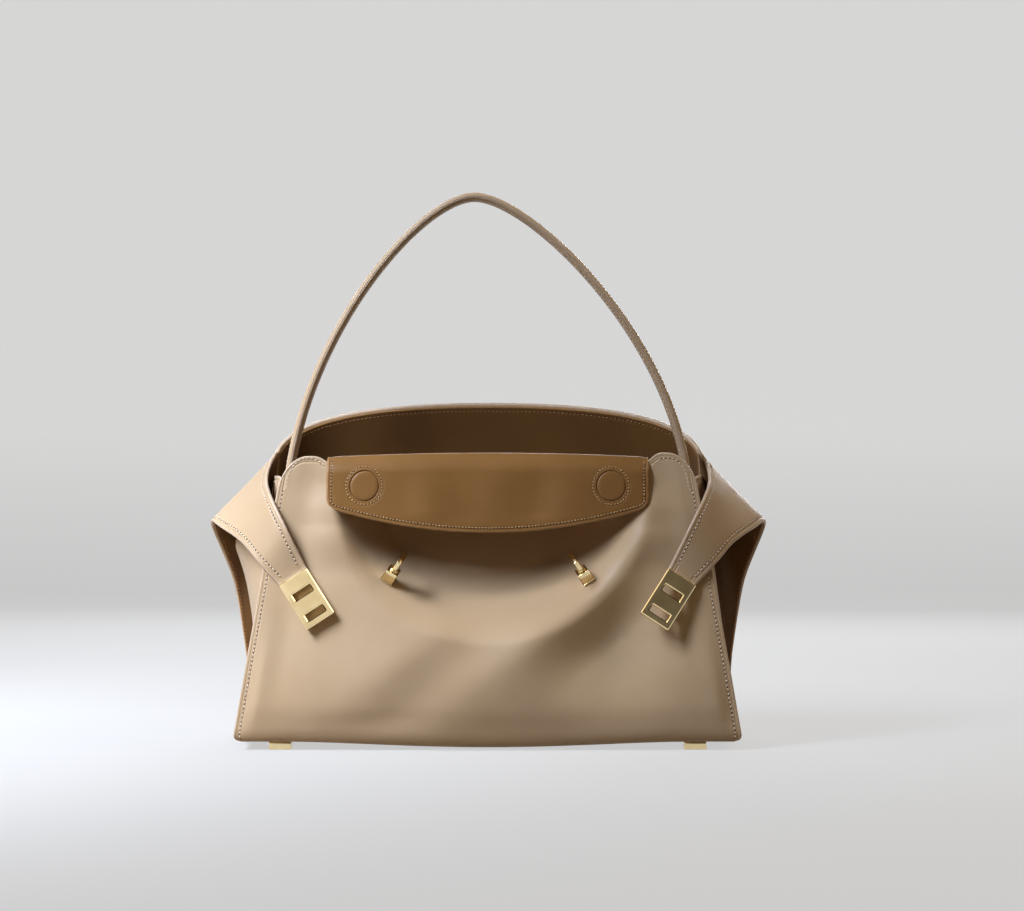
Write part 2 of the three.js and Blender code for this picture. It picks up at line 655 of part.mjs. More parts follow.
// Back panel with both wings, its stiffener with the two magnets, and its lining
const backLiningEnd = SEAM_AT * (1 + 2 * SEAM_MARGIN / seamTop.x);
const backColumns = bothSides([
  ...evenSteps(0, backLiningEnd, BACK_COLUMNS),
  ...evenSteps(SEAM_AT, 1 - FOLD_GAP, WING_COLUMNS),
]);
const backRows = [...evenSteps(0, LINING_TOP, BACK_ROWS), 1];

function makeBack() {
  const group = new THREE.Group();
  group.add(mesh("back_panel", ply(backSurface, 0, -LEATHER, backColumns, backRows), tan));
  const columns = stepsWithin(backColumns, -backLiningEnd, backLiningEnd);
  const stiffenerOuter = -LEATHER - FIT;
  const liningOuter = stiffenerOuter - STIFFENER - FIT;
  const stiffenerRows = stepsWithin(backRows, 1 - STIFFENER_DEPTH / BACK_HEIGHT, LINING_TOP);
  const stiffener = ply(backSurface, stiffenerOuter, stiffenerOuter - STIFFENER, columns, stiffenerRows);
  const magnetUp = 1 - 2 * MAGNET_DOWN / BACK_HEIGHT;
  const magnetLow = stiffenerOuter - STIFFENER / 2 - FIT / 2 - MAGNET_THICKNESS / 2;
  const holes = [];
  for (const [sign, side] of [[1, "left"], [-1, "right"]]) {
    const along = sign * BACK_MAGNET_AT;
    const outward = surfaceNormal(backSurface, along, magnetUp);
    const seat = facing(backSurface(along, magnetUp), outward, new THREE.Vector3(0, 0, 1));
    const hole = rod(MAGNET_DIAMETER + 4 * FIT, liningOuter - LINING, 0);
    holes.push(hole.applyMatrix4(seat.matrixWorld));
    const magnet = rod(MAGNET_DIAMETER, magnetLow, magnetLow + MAGNET_THICKNESS);
    seat.add(mesh(`${side}_back_magnet`, magnet, steel));
    group.add(seat);
  }
  group.add(mesh("back_stiffener", cut(stiffener, ...holes), fibre));
  const floorShare = (floorTop + 2 * SEAM_FIT - panelLow) / (seamTop.z - panelLow);
  const liningRows = stepsWithin(backRows, floorShare, LINING_TOP);
  const lining = ply(backSurface, liningOuter, liningOuter - LINING, columns, liningRows);
  group.add(mesh("back_lining", lining, brown));
  return group;
}

// One side of the bag: gusset, wing lining, strap with its tip, handle tab and turn lock
function makeSide(side) {
  const group = new THREE.Group();
  const columns = evenSteps(0, 1, GUSSET_STEPS);
  const rows = evenSteps(0, 1, GUSSET_STEPS);
  group.add(mesh(`${side}_gusset`, ply(gussetSurface, 0, -LEATHER, columns, rows), tan));
  const floorShare = (floorTop + SEAM_FIT - panelLow) / (GUSSET_HEIGHT - panelLow);
  const seamShare = 2 * strapThickness / BASE_DEPTH;
  const liningColumns = stepsWithin(columns, seamShare, 1 - seamShare);
  const liningRows = stepsWithin(rows, floorShare, LINING_TOP);
  const gussetLining = ply(gussetSurface, -LEATHER - FIT, -strapThickness, liningColumns, liningRows);
  group.add(mesh(`${side}_gusset_lining`, gussetLining, brown));
  const tabHalf = TAB_WIDTH / 2 / gussetDepth;
  const tabColumns = stepsWithin(columns, 0.5 - tabHalf, 0.5 + tabHalf);
  const tabRows = stepsWithin(rows, tabTop - TAB_LENGTH / GUSSET_HEIGHT, tabTop);
  const tab = ply(gussetSurface, tabInner + TAB, tabInner, tabColumns, tabRows);
  group.add(mesh(`${side}_handle_tab`, tab, tan));
  const wingColumns = stepsWithin(backColumns, SEAM_AT + WING_LINING_START, 1 - FOLD_GAP);
  const wingRows = stepsWithin(backRows, WING_LINING_INSET, 1 - WING_LINING_INSET);
  const wingLining = ply(backSurface, -LEATHER - FIT, -strapThickness, wingColumns, wingRows);
  group.add(mesh(`${side}_wing_lining`, wingLining, brown));
  const tongueEnd = 1 + (TONGUE + MOUTH_LEAD) / TIP_LENGTH;
  const strapColumns = [...evenSteps(foldShare + FOLD_GAP, 1, STRAP_COLUMNS), tongueEnd];
  const strapRows = evenSteps(0, 1, STRAP_ROWS);
  group.add(mesh(`${side}_strap`, ply(wingSurface, 0, -LEATHER, strapColumns, strapRows), tan));
  const strapLining = ply(wingSurface, -LEATHER - FIT, -strapThickness, strapColumns, strapRows);
  group.add(mesh(`${side}_strap_lining`, strapLining, brown));
  group.add(makeTip(side));
  group.add(makeLock(side));
  return group;
}

// A metal tip: a mouth for the strap at one end and two slots for the turn lock
function makeTip(side) {
  const group = tipFrame.clone();
  const half = tipThickness / 2;
  const body = chamferedBlock(TIP_WIDTH, TIP_LENGTH, TIP_CORNER, TIP_CHAMFER, -half, half);
  const mouthHeight = tipThickness - 2 * TIP_WALL;
  const mouth = new THREE.BoxGeometry(TIP_WIDTH - 2 * TIP_WALL, 2 * TONGUE + 2 * FIT, mouthHeight);
  mouth.translate(0, TIP_LENGTH / 2, 0);
  const slots = [-1, 1].map((end) => {
    const slot = chamferedBlock(SLOT_LENGTH, SLOT_WIDTH, TIP_CORNER, TIP_CHAMFER, -2 * half, 2 * half);
    return slot.translate(0, SLOT_SHIFT + end * SLOT_SPACING / 2, 0);
  });
  const screwX = TIP_SCREW_SPACING / 2;
  const screwY = (TIP_LENGTH - TONGUE) / 2;
  const hole = rod(SCREW_SHANK + 2 * FIT, -2 * half, 0).translate(screwX, screwY, 0);
  group.add(mesh(`${side}_tip`, cut(body, mouth, ...slots, hole, mirrored(hole)), gold));
  const headTop = -half - FIT;
  const shank = rod(SCREW_SHANK, headTop - SCREW_HEAD_HEIGHT / 2, -strapThickness / 2 - FIT);
  const head = rod(SCREW_HEAD, headTop - SCREW_HEAD_HEIGHT, headTop);
  for (const [end, name] of [[-1, "outer"], [1, "inner"]]) {
    const screw = mesh(`${side}_tip_screw_${name}`, join(shank, head), gold);
    screw.position.set(end * screwX, screwY, 0);
    group.add(screw);
  }
  return group;
}

// Flap: a lining that shows while it is turned down, a stiffener with two magnets, and the outer leather
function makeFlap() {
  const group = new THREE.Group();
  const cornerStart = 1 - FLAP_CORNER / halfFlap;
  const corner = [SLOPE_STEP, 1].map((share) => lerp(cornerStart, 1, share));
  const columns = bothSides([...evenSteps(0, cornerStart, FLAP_COLUMNS), ...corner]);
  const rows = [0, ...evenSteps(FLAP_STIFFENER_TOP, FLAP_STIFFENER_END, FLAP_ROWS), 1];
  const outer = flapThickness / 2;
  group.add(mesh("flap_lining", ply(flapSurface, outer, outer - LINING, columns, rows), brown));
  const stiffenerColumns = stepsWithin(columns, -cornerStart, cornerStart);
  const stiffener = ply(flapSurface, STIFFENER / 2, -STIFFENER / 2, stiffenerColumns, rows.slice(1, -1));
  const holes = [];
  for (const [sign, side] of [[1, "left"], [-1, "right"]]) {
    const across = sign * (1 - MAGNET_FROM_END / halfFlap);
    const down = MAGNET_DOWN / (FLAP_LENGTH - FLAP_SHORTER_ENDS * across ** 2);
    const outward = surfaceNormal(flapSurface, across, down);
    const seat = facing(flapSurface(across, down), outward, new THREE.Vector3(0, 0, 1));
    const hole = rod(MAGNET_DIAMETER + 4 * FIT, -flapThickness, flapThickness);
    holes.push(hole.applyMatrix4(seat.matrixWorld));
    const magnet = rod(MAGNET_DIAMETER, -MAGNET_THICKNESS / 2, MAGNET_THICKNESS / 2);
    seat.add(mesh(`${side}_flap_magnet`, magnet, steel));
    group.add(seat);
  }
  group.add(mesh("flap_stiffener", cut(stiffener, ...holes), fibre));
  group.add(mesh("flap_leather", ply(flapSurface, LINING - outer, -outer, columns, rows), tan));
  return group;
}

// Handle: an arch of two leather halves round a flat core, with its ends beside the tabs
function handlePath() {
  const seat = gussetAt(0.5, pivotHeight);
  const kneeAlong = 0.5 + HANDLE_KNEE * HANDLE_WIDTH / 2 / gussetDepth;
  const tabFace = gussetSurface(kneeAlong, tabTop);
  tabFace.addScaledVector(surfaceNormal(gussetSurface, kneeAlong, tabTop), tabInner);
  const halfSpan = -tabFace.x - HANDLE_KNEE * HANDLE_THICKNESS / 2 - HANDLE_SIDE_FIT;
  const rise = HANDLE_APEX_HEIGHT - pivotHeight;
  const apex = new THREE.Vector3(HANDLE_APEX_SHIFT, seat.y, HANDLE_APEX_HEIGHT);
  const at = (point, x, z) => point.clone().add(new THREE.Vector3(x, 0, z));
  const foot = [-1, 1].map((side) => new THREE.Vector3(side * halfSpan, seat.y, pivotHeight));
  const footUp = [-1, 1].map((side, i) => at(foot[i], -side * rise * LEG_SLOPE, rise * LEG_REACH));
  const end = [-1, 1].map((side, i) => at(foot[i], side * HANDLE_LAP * LEG_SLOPE, -HANDLE_LAP));
  const shoulder = [-1, 1].map((side) => at(apex, side * halfSpan * SHOULDER_REACH, 0));
  const path = new THREE.CurvePath();
  path.add(new THREE.LineCurve3(end[0], foot[0]));
  path.add(new THREE.CubicBezierCurve3(foot[0], footUp[0], shoulder[0], apex));
  path.add(new THREE.CubicBezierCurve3(apex, shoulder[1], footUp[1], foot[1]));
  path.add(new THREE.LineCurve3(foot[1], end[1]));
  return path;
}

// Half of the handle's hollow section, above or below the seam along its sides
function handleHalf(side) {
  const halfWidth = HANDLE_WIDTH / 2;
  const halfCore = HANDLE_CORE_WIDTH / 2 + FIT;
  const outer = side * HANDLE_THICKNESS / 2;
  const inner = side * (HANDLE_CORE_THICKNESS / 2 + FIT);
  const seam = side * FIT / 2;
  const shape = new THREE.Shape();
  shape.moveTo(-halfWidth, seam);
  shape.quadraticCurveTo(-halfWidth, outer, 0, outer);
  shape.quadraticCurveTo(halfWidth, outer, halfWidth, seam);
  shape.lineTo(halfCore, seam);
  shape.quadraticCurveTo(halfCore, inner, 0, inner);
  shape.quadraticCurveTo(-halfCore, inner, -halfCore, seam);
  return shape;
}

function makeHandle() {
  const group = new THREE.Group();
  const extrudePath = handlePath();
  const core = new THREE.Shape();
  core.absellipse(0, 0, HANDLE_CORE_WIDTH / 2, HANDLE_CORE_THICKNESS / 2, 0, 2 * Math.PI);
  const sweep = (shape, curveSegments) => new THREE.ExtrudeGeometry(shape, {
    extrudePath,
    steps: HANDLE_STEPS,
    curveSegments,
    bevelEnabled: false,
  });
  group.add(mesh("handle_leather_under", sweep(handleHalf(1), 2), tan));
  group.add(mesh("handle_leather_upper", sweep(handleHalf(-1), 2), tan));
  group.add(mesh("handle_core", sweep(core, 3), fibre));
  return group;
}

// Assembly
const bag = new THREE.Group();
bag.position.z = FOOT_HEIGHT;
const rightSide = makeSide("right");
rightSide.scale.x = -1;
bag.add(makeBase(), makeFeet(), makeFront(), makeBack());
bag.add(makeSide("left"), rightSide, makeFlap(), makeHandle());

const tote = new THREE.Group();
tote.add(bag);

export default tote;
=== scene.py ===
"""A soft leather tote bag that stands open: fine leather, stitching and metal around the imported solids.

Sizes are in millimetres until a mesh is made. Heights in the shape formulas start at the underside of the
base, which stands FOOT_HEIGHT above the ground. The front faces -Y. A SPAN holds the two places between
which a form comes in or fades, and a GRID the numbers of columns and rows of a mesh.
"""

import json
import math

import bmesh
import bpy
import numpy as np
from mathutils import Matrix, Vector
from mathutils.geometry import tessellate_polygon


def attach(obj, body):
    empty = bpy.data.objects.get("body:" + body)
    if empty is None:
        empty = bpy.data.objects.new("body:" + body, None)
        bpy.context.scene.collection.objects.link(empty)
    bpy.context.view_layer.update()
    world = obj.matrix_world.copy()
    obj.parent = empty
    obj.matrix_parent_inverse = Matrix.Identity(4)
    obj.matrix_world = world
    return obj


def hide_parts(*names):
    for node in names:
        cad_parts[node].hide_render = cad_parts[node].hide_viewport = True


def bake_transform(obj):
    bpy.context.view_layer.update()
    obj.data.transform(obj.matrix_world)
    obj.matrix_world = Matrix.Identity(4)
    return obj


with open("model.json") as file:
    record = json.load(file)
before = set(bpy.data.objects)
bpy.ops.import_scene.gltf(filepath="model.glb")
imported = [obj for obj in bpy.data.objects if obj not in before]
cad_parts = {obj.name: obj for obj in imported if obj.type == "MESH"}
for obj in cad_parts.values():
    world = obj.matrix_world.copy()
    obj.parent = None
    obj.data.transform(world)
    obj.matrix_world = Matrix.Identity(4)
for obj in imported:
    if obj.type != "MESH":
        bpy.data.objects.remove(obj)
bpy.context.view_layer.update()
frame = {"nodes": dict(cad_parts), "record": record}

MM = 0.001

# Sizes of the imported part
LEATHER = 1.6
LINING = 1.2
STIFFENER = 1.0
FIT = 0.3
SEAM_FIT = 0.6
SEAM_MARGIN = 6.0
BASE_WIDTH = 364.0
BASE_DEPTH = 150.0
BASE_SAG = 4.0
BOARD_TOP = 4.3
FLOOR_TOP = 5.8
SAG_FADE = 60.0
FRONT_HEIGHT = 197.0
HALF_FRONT = 148.5
FRONT_TOP_REACH = 50.0
HALF_FLAP = 115.0
EAR_RISE = 7.0
EAR_SLOPE = 6.0
EAR_CORNER_WIDTH = 17.0
EAR_CORNER_HEIGHT = 25.0
BELLY = 13.0
BELLY_HEIGHT = 155.0
EDGE_LIFT = 4.0
EDGE_LIFT_WIDTH = 28.0
BOWL_DEPTH = 46.0
BOWL_HEIGHT = 179.0
BOWL_HALF_WIDTH = 100.0
BOWL_DROP = 92.0
BOWL_FLOOR = 0.68
BOWL_RIM = 1.2
BOWL_LIP = 30.0
GUSSET_HEIGHT = 189.0
GUSSET_BULGE = 5.0
BACK_HEIGHT = 244.0
BACK_TOP_REACH = 48.0
BACK_BULGE = 12.0
BACK_TOP_FLAT = 0.6
BACK_SHOULDER = 0.94
BACK_SHOULDER_DROP = 12.0
BACK_SHOULDER_FORWARD = 4.0
FOLD_TOP = (-162.0, -2.0, 202.0)  # upper end of the left wing's fold
FOLD_RUN = (-43.5, -2.0, -45.5)  # from there to the fold's lower end
SEAM_RUN = (2.5, 12.0, 5.5)  # and to the top of the gusset's seam
FOLD_SHARE = 3 / 7  # the fold's place on the wing's edges
WING_TOP_HANG = ((0.33, 0, 0, 0.022), (0.66, 0, 0, 0.022))
WING_LOW_HANG = ((0.33, 0.029, 0.063, 0.012), (0.7, 0.035, 0.104, 0))
STRAP_TOP_HANG = ((0.25, -0.085, -0.07, 0.066), (0.5, -0.11, -0.18, 0.123), (0.78, -0.075, -0.15, 0.113))
STRAP_LOW_HANG = ((0.3, -0.063, -0.106, 0.106), (0.55, -0.032, -0.148, 0.106), (0.8, -0.032, -0.106, 0.063))
FLAP_LENGTH = 51.0
FLAP_SHORTER_ENDS = 17.0
FLAP_CORNER = 6.0
FLAP_FOLD_HEIGHT = 4.5
FLAP_FOLD_BACK = 0.5
FLAP_HANG = 11.0
FLAP_BEND = 5.5
FLAP_HALF_THICKNESS = 2.0
MAGNET_FROM_END = 26.0
MAGNET_DOWN = 21.0
PIVOT_HEIGHT = 187.0
HANDLE_APEX_HEIGHT = 395.0
HANDLE_APEX_SHIFT = -10.0
HANDLE_WIDTH = 18.0
HANDLE_THICKNESS = 6.6
HANDLE_LAP = 4.0
HANDLE_SIDE_FIT = 1.3
HANDLE_KNEE = 0.75
LEG_SLOPE = 0.06
LEG_REACH = 0.52
SHOULDER_REACH = 0.27
TAB_WIDTH = 22.0
TAB_LENGTH = 42.0
TAB_THICKNESS = 2.0
TIP_WIDTH = 23.4
TIP_LENGTH = 38.5
TIP_WALL = 0.9
TIP_THICKNESS = 5.5
TIP_FROM_MIDDLE = 128.5
TIP_HEIGHT = 101.0
TIP_LEAN = 33.0
TIP_STAND_OFF = 3.0
SLOT_LENGTH = 14.9
SLOT_WIDTH = 5.5
SLOT_SPACING = 17.4
SLOT_SHIFT = -3.2
TONGUE = 7.5
MOUTH_LEAD = 2.0
LOCK_FROM_MIDDLE = 72.5
LOCK_HEIGHT = 115.0
LOCK_FLANGE = 9.8
LOCK_FLANGE_THICKNESS = 1.2
LOCK_COLLAR = 8.6
LOCK_COLLAR_HEIGHT = 9.0
SPINDLE = 4.0
SPINDLE_END = 6.4
SPINDLE_RING = 1.4
NECK = 3.0
PADDLE_WIDTH = 14.0
PADDLE_THICKNESS = 3.6
PADDLE_HEIGHT = 9.0
WASHER_THICKNESS = 1.0
FOOT_HEIGHT = 6.0
FOOT_WIDTH = 16.0
FOOT_X = 149.0
FOOT_Y = 60.0
PANEL_LOW = LEATHER + SEAM_FIT
STRAP = LEATHER + FIT + LINING  # thickness of a strap with its lining

# Soft folds of the front
WALL_FLOOR = 0.8  # the hollow's left wall is steeper than the solid's
WALL_RIM = 1.13
WALL_SIDE_SPAN = (5.0, 45.0)
WALL_HEIGHT_SPAN = (112.0, 142.0)
FALL_PLACE = (60.0, 95.0)  # at the right, the leather falls away below a slanting line
FALL_ANGLE = 40.0
FALL_DEPTH = 20.0
FALL_SPAN = (-7.0, 42.0)
FALL_RETURN = 0.4
FALL_RETURN_SPAN = (42.0, 140.0)
FALL_START_SPAN = (-85.0, -5.0)
FALL_END_SPAN = (40.0, 105.0)
FALL_SIDE_SPAN = (85.0, 165.0)
FALL_HEIGHT_SPAN = (0.0, 75.0)
RIDGE = 2.5
RIDGE_AT = -17.0
RIDGE_WIDTH = 30.0
CREASE_PLACE = (-50.0, 48.0)  # a slanting crease low on the left
CREASE_ANGLE = 35.0
CREASE_FALL = 3.6
CREASE_RISE = 2.0
CREASE_ASIDE = 13.0
CREASE_WIDTH = 19.0
CREASE_LENGTH = 60.0
CREASE_HEIGHT_SPAN = (2.0, 22.0)
LOW_SWELL = 5.5  # the leather swells out below that crease
LOW_SWELL_SPAN = (-8.0, 34.0)
LOW_SWELL_SIDE_SPAN = (60.0, 135.0)
LOW_SWELL_RISE_SPAN = (8.0, 60.0)
LOW_SWELL_FADE_SPAN = (62.0, 112.0)
ROLL = 3.5  # and stands out in a soft roll above the base
ROLL_RISE_SPAN = (1.0, 28.0)
ROLL_FADE_SPAN = (30.0, 95.0)
PILLAR = 6.5  # a soft column stands under each ear
PILLAR_RISE_SPAN = (118.0, 152.0)
PILLAR_FADE = 0.6
PILLAR_FADE_SPAN = (165.0, 188.0)
LEFT_PILLAR = (110.0, 24.0)  # place and width
RIGHT_PILLAR = (100.0, 36.0)
TIP_CUSHION = 2.0
TIP_CUSHION_WIDTH = 24.0
LOCK_SPAN = (5.5, 15.0)  # the folds leave the locks' seats flat
SEAM_SPAN = (-14.0, -3.0)  # and end before the side seams
RIGHT_EAR_LIFT = 2.5
TURN_UNDER = 5.5
TURN_UNDER_HEIGHT = 11.0
FRONT_LOW = 0.3
LOW_CORNER = 5.0
BASE_WELT = 5.2

# Soft forms of the gussets
GUSSET_DIP = 0.14  # the top dips toward the ear
GUSSET_DIP_SPAN = (0.62, 0.85)
GUSSET_TUCK = 7.0  # and tucks in there
GUSSET_TUCK_SPAN = (0.6, 0.76)
GUSSET_TUCK_FADE_SPAN = (0.92, 1.0)
GUSSET_TUCK_HEIGHT_SPAN = (145.0, 178.0)
SWELL_MARGIN = 12.0
SWELL_SKEW = 0.6
SWELL_RISE_SPAN = (0.0, 30.0)
SWELL_FADE_SPAN = (134.0, 176.0)
SEAM_NORMAL_AT = 0.003  # the wing's slant beside the gusset is taken here

# Stitching and edges
PITCH = 3.1
FLAP_PITCH = 2.4
STITCH_SHARE = 0.7392  # of the pitch
THREAD = 0.48
FLAP_THREAD = 0.56
STITCH_SLANT = 6.0
STITCH_RINGS = (  # shift along the stitch, girth and lift
    (-0.5, 0.45, -0.55),
    (-0.38, 0.9, -0.1),
    (0, 1.0, 0.12),
    (0.38, 0.9, -0.1),
    (0.5, 0.45, -0.55),
)
STITCH_SIDES = 6
HOLE_LENGTH = 0.897
HOLE_WIDTH = 0.624
HOLE_RISE = 0.05
HOLE_SINK = 0.12
STITCH_INSET = 3.6
INSIDE_STITCH_INSET = 4.2
EDGE_INSETS = (0, 0.5, 1.0, 1.4, 1.8, 2.2, 2.6, 3.0, 3.3, 3.6, 3.9, 4.3, 5.0, 6.0, 7.5)
GRADED_SHARE = 0.45  # the most that those steps take of a length
RIM_STEPS = 6
CREASE_LINE = 0.38
CREASE_LINE_WIDTH = 0.34
GROOVE = 0.4
GROOVE_WIDTH = 0.55
THINNING = 0.2
THINNING_REACH = 3.0
STITCH_SEAT = 0.25  # depth of the threads in the leather
FRONT_STITCH_SEAT = 0.3
HANDLE_STITCH_SEAT = 0.1
FLAP_STITCH_SEAT = 0.2
MAGNET_STITCH_SEAT = 0.1
BACK_LINING_SEAT = 0.2
BAND_LINING_SEAT = 0.05

# Distances of the plies' outer and inner faces from the shape formulas
FRONT_LINING_PLY = (-LEATHER - 0.1, -STRAP)
BACK_INNER = -STRAP - 0.4
BACK_LINING_PLY = (-STRAP + 0.5, -STRAP - FIT - STIFFENER)
BAND_INNER = -STRAP + 0.3
BAND_LINING_PLY = (-LEATHER, -STRAP - 0.2)
GUSSET_INNER = -STRAP + 0.4
GUSSET_LINING_PLY = (-LEATHER, -STRAP)
TAB_INNER = -STRAP - FIT - TAB_THICKNESS
FLAP_FACE_INNER = -0.9
FLAP_ROOT_PLY = (1.0, -0.6)
FLAP_UNDER_PLY = (-0.8, -FLAP_HALF_THICKNESS)

# Meshes
NORMAL_STEP = 0.002
CURVE_POINTS = 200
FRONT_GRID = (150, 110)
FRONT_LINING_GRID = (90, 60)
FRONT_LINING_TOP = 0.995
UNDER_FLAP_SPAN = (-2.0, 3.0)  # about the flap's ends, where the front edge's stitches stop
UNDER_FLAP = 20.0
EDGE_PATH_POINTS = 240
EDGE_PATH_STEPS = (80, 60)  # on a side and on the ear
EDGE_PATH_END = 2.0
EDGE_PATH_GAP = 1.0
BACK_GRID = (110, 80)
BACK_MIDDLE_WIDTH = 330.0
BACK_EDGE_RISE = 240.0
BACK_LINING_GRID = (110, 70)
BACK_LINING_END = 0.99
BACK_LINING_INSETS = (7.5, 6, 5, 4.3, 3.9, 3.6, 3.3, 2.9, 2.4, 1.6)
BACK_GROOVE = 0.25
BACK_GROOVE_WIDTH = 0.5
BACK_STITCH_END = 0.985
BACK_STITCH_POINTS = 300
BELOW_EDGE = 0.96  # even rows end here, and finer ones follow up to an edge
BAND_GRID = (170, 44)
BAND_LINING_ROWS = 54
BAND_LINING_INSET = 1.3
BAND_STITCH_ENDS = (0.002, 0.985)
BAND_STITCH_POINTS = 400
GUSSET_GRID = (60, 70)
GUSSET_LINING_GRID = (50, 60)
GUSSET_LINING_ENDS = (0.04, 0.96)
GUSSET_LINING_TOP = 0.992
GUSSET_STITCH_ENDS = (0.01, 0.99)
GUSSET_STITCH_POINTS = 120
TAB_GRID = (12, 30)
TAB_CORNER = 8.0
TAB_ROUNDING = 6.0
TAB_STITCH_TOP = 2.0
TAB_STITCH_POINTS = 30
BASE_GRID = (100, 30)
BASE_LINING_GRID = (80, 30)

# Flap
FLAP_GRID = (230, 46)
FLAP_EVEN_ROWS = 0.8
FLAP_EDGE_LENGTH = 45.0
FLAP_UNDER_GRID = (120, 40)
FLAP_UNDER_INSET = 1.0
FLAP_UNDER_TOP = 0.4
FLAP_STITCH_INSET = 2.2
FLAP_STITCH_TOP = 3.0
FLAP_STITCH_POINTS = (400, 40)  # along the lower edge and on an end
FLAP_CROWN = 3.0
FLAP_CROWN_FADE = 30.0
FLAP_NORMAL_STEP = 0.4
FLAP_PATH_POINTS = 800
FLAP_FALL_START = 0.01
FLAP_ROOT = ((-46.9, 186.0), (-46.9, 196.0))  # behind the front edge, from low to high
FLAP_ROOT_TURN = ((-46.9, 202.2), (-48.0, 203.0))  # it bends over to the fold line by these
FLAP_ROOT_STEPS = (0.95, 12)  # last share and number of points, which end before the next stretch
FLAP_ROOT_TURN_STEPS = (0.97, 16)
FINE_WAVE = (0.9, 9.4, 0.4)  # height, length and shift
BROAD_WAVE = (0.8, 17.0, 2.0)
WAVE_SLANT = 25.0
WAVE_RISE_SPAN = (2.0, 24.0)
WAVE_SIDE_SPAN = (30.0, 74.0)
WAVE_FADE_SPAN = (38.0, 50.0)
MAGNET_X = HALF_FLAP - MAGNET_FROM_END
MAGNET_CROWN = 0.35
MAGNET_CROWN_SPAN = (8.8, 10.2)
MAGNET_GROOVE = 10.4
MAGNET_GROOVE_DEPTH = 0.85
MAGNET_GROOVE_WIDTH = 0.3
MAGNET_RING = 13.0
MAGNET_RING_DEPTH = 0.25
MAGNET_RING_WIDTH = 0.6
MAGNET_PATCH = 14.6
MAGNET_PATCH_RISE = 0.1
MAGNET_PATCH_EDGE = 1.0
MAGNET_RINGS = ((0, 9.4, 8), (9.6, 11.2, 13), (11.4, 14.6, 14))  # from, to and how many
MAGNET_TURNS = 97
MAGNET_BED = 0.8
MAGNET_BED_SPAN = (12.6, 14.1)
MAGNET_SLANT = 24.0
MAGNET_STITCH_POINTS = 120

# Handle
HANDLE_POINTS = 260
HANDLE_LAP_STEPS = (0.98, 10)
CROWN_LOW = 0.4
CROWN_WIDTH = 0.95
CROWN_POWER = 2.2
CROWN_END = 0.93
CROWN_POINTS = 12
HANDLE_EDGE = ((0.985, 0.02), (1.015, 0.1), (1.0, 0.2), (0.985, 0.3), (0.957, 0.38))
HANDLE_PAINTED = 2
HANDLE_STITCH_AT = 0.74
HANDLE_SLOPE_STEP = 0.01
HANDLE_STITCHED = slice(6, -6)

# Metal
FOOT_BEVEL = 0.9
BEVEL_PROFILE = 0.6
BEVEL_SEGMENTS = 3
TIP_CHAMFER = 0.7
TIP_CORNER = 0.7
SLOT_CORNER = 0.35
LEAST_CORNER = 0.15
CORNER_STEPS = 5
LOCK_BEVEL = 0.4
COLLAR_SINK = 0.3
PADDLE_BEVEL = 1.1
PADDLE_SINK = 1.0
RIVET_CHAMFER = 0.4
RING_CHAMFER = 0.3
NECK_BEAD = ((2.2, 0.0), (2.2, 0.8), (2.6, 1.0), (2.6, 2.0), (2.2, 2.2))  # radius, and height above the ring
LATHE_SIDES = 32
BLOCK_SHARP = 50.0
LOCK_SHARP = 40.0

# Materials
TONE_STOPS = (0.32, 0.68)
GLOSS_SPAN = (0.35, 0.65)
CLOUD_DETAIL = 3.0
FINE_DETAIL = 2.0
TONE_DETAIL = 4.0
TONE_SCALE = 16.0
GLOSS_SCALE = 240.0
PORE_SCALE = 1.7  # times the scale of the leather's cells
GRAIN_HEIGHT = 0.0002
SHEEN = 0.08
SHEEN_ROUGHNESS = 0.5
LEATHER_SPECULAR = 0.3
METAL_SCALE = 90.0
METAL_GLOSS = 0.08
BRUSH_SCALE = 5200.0
BRUSH_HEIGHT = 0.00004
PLAIN_RELIEF = 0.15
PLAIN_HEIGHT = 0.0001
GLOSS_DRIFT = 0.05
LEATHER_DULL = 0.06

# Stage and light, in metres
STAGE_GLOW = 0.66
FLOOR_GLOW = 0.56
GLOW_SPAN = (0.0, 0.25)
STAGE_LIGHT = 0x767674
STAGE_DARK = 0x707070
STAGE_THROWN = 0x8A7B68
STAGE_SCALE = 2.0
STAGE_BEND_AT = 2.2
STAGE_BEND = 1.0
STAGE_BEND_STEPS = 16
STAGE_HALF_WIDTH = 14.0
STAGE_FRONT = -9.0
STAGE_TOP = 9.0
ROOM_TINT = (1.0, 0.67, 0.38, 1)
ROOM_LEVEL = 0.06
MIRRORED_TINT = (1.0, 0.88, 0.7, 1)
MIRRORED_LEVELS = (1.6, 0.1)
MIRRORED_SPAN = (-0.85, 0.05)
LAMPS = (  # name, place, aim, width, height, power, tint, spread
    ("key", (-0.96, -0.73, 1.08), (-0.7, -0.05, 0.22), 0.6, 0.8, 13.8, (0.91, 1.0, 1.21), 75),
    ("fill", (1.6, -0.25, 1.7), (0.1, 0, 0.15), 0.9, 0.9, 12.0, (1.0, 0.82, 0.62), 180),
    ("back", (0.15, 1.75, 0.75), (0, 0.05, 0.15), 1.5, 0.7, 12.0, (0.97, 1.0, 1.05), 110),
)

# Camera, from the photograph
CAMERA_PLACE = (0.0175, -1.975, 0.211)
LENS = 93.5
SENSOR = 36.0


# Small helpers
def mix(a, b, t):
    return a + (b - a) * t


def smooth(x, low, high):
    t = np.clip((x - low) / (high - low), 0, 1)
    return t * t * (3 - 2 * t)


def fade(x, low, high):
    return 1 - smooth(x, low, high)


def bump(x, middle, width):
    return np.exp(-(((x - middle) / width) ** 2))


def quarter(share):
    """How far a quarter circle has fallen away at a share of its radius."""
    return 1 - np.sqrt(1 - np.clip(share, 0, 1) ** 2)


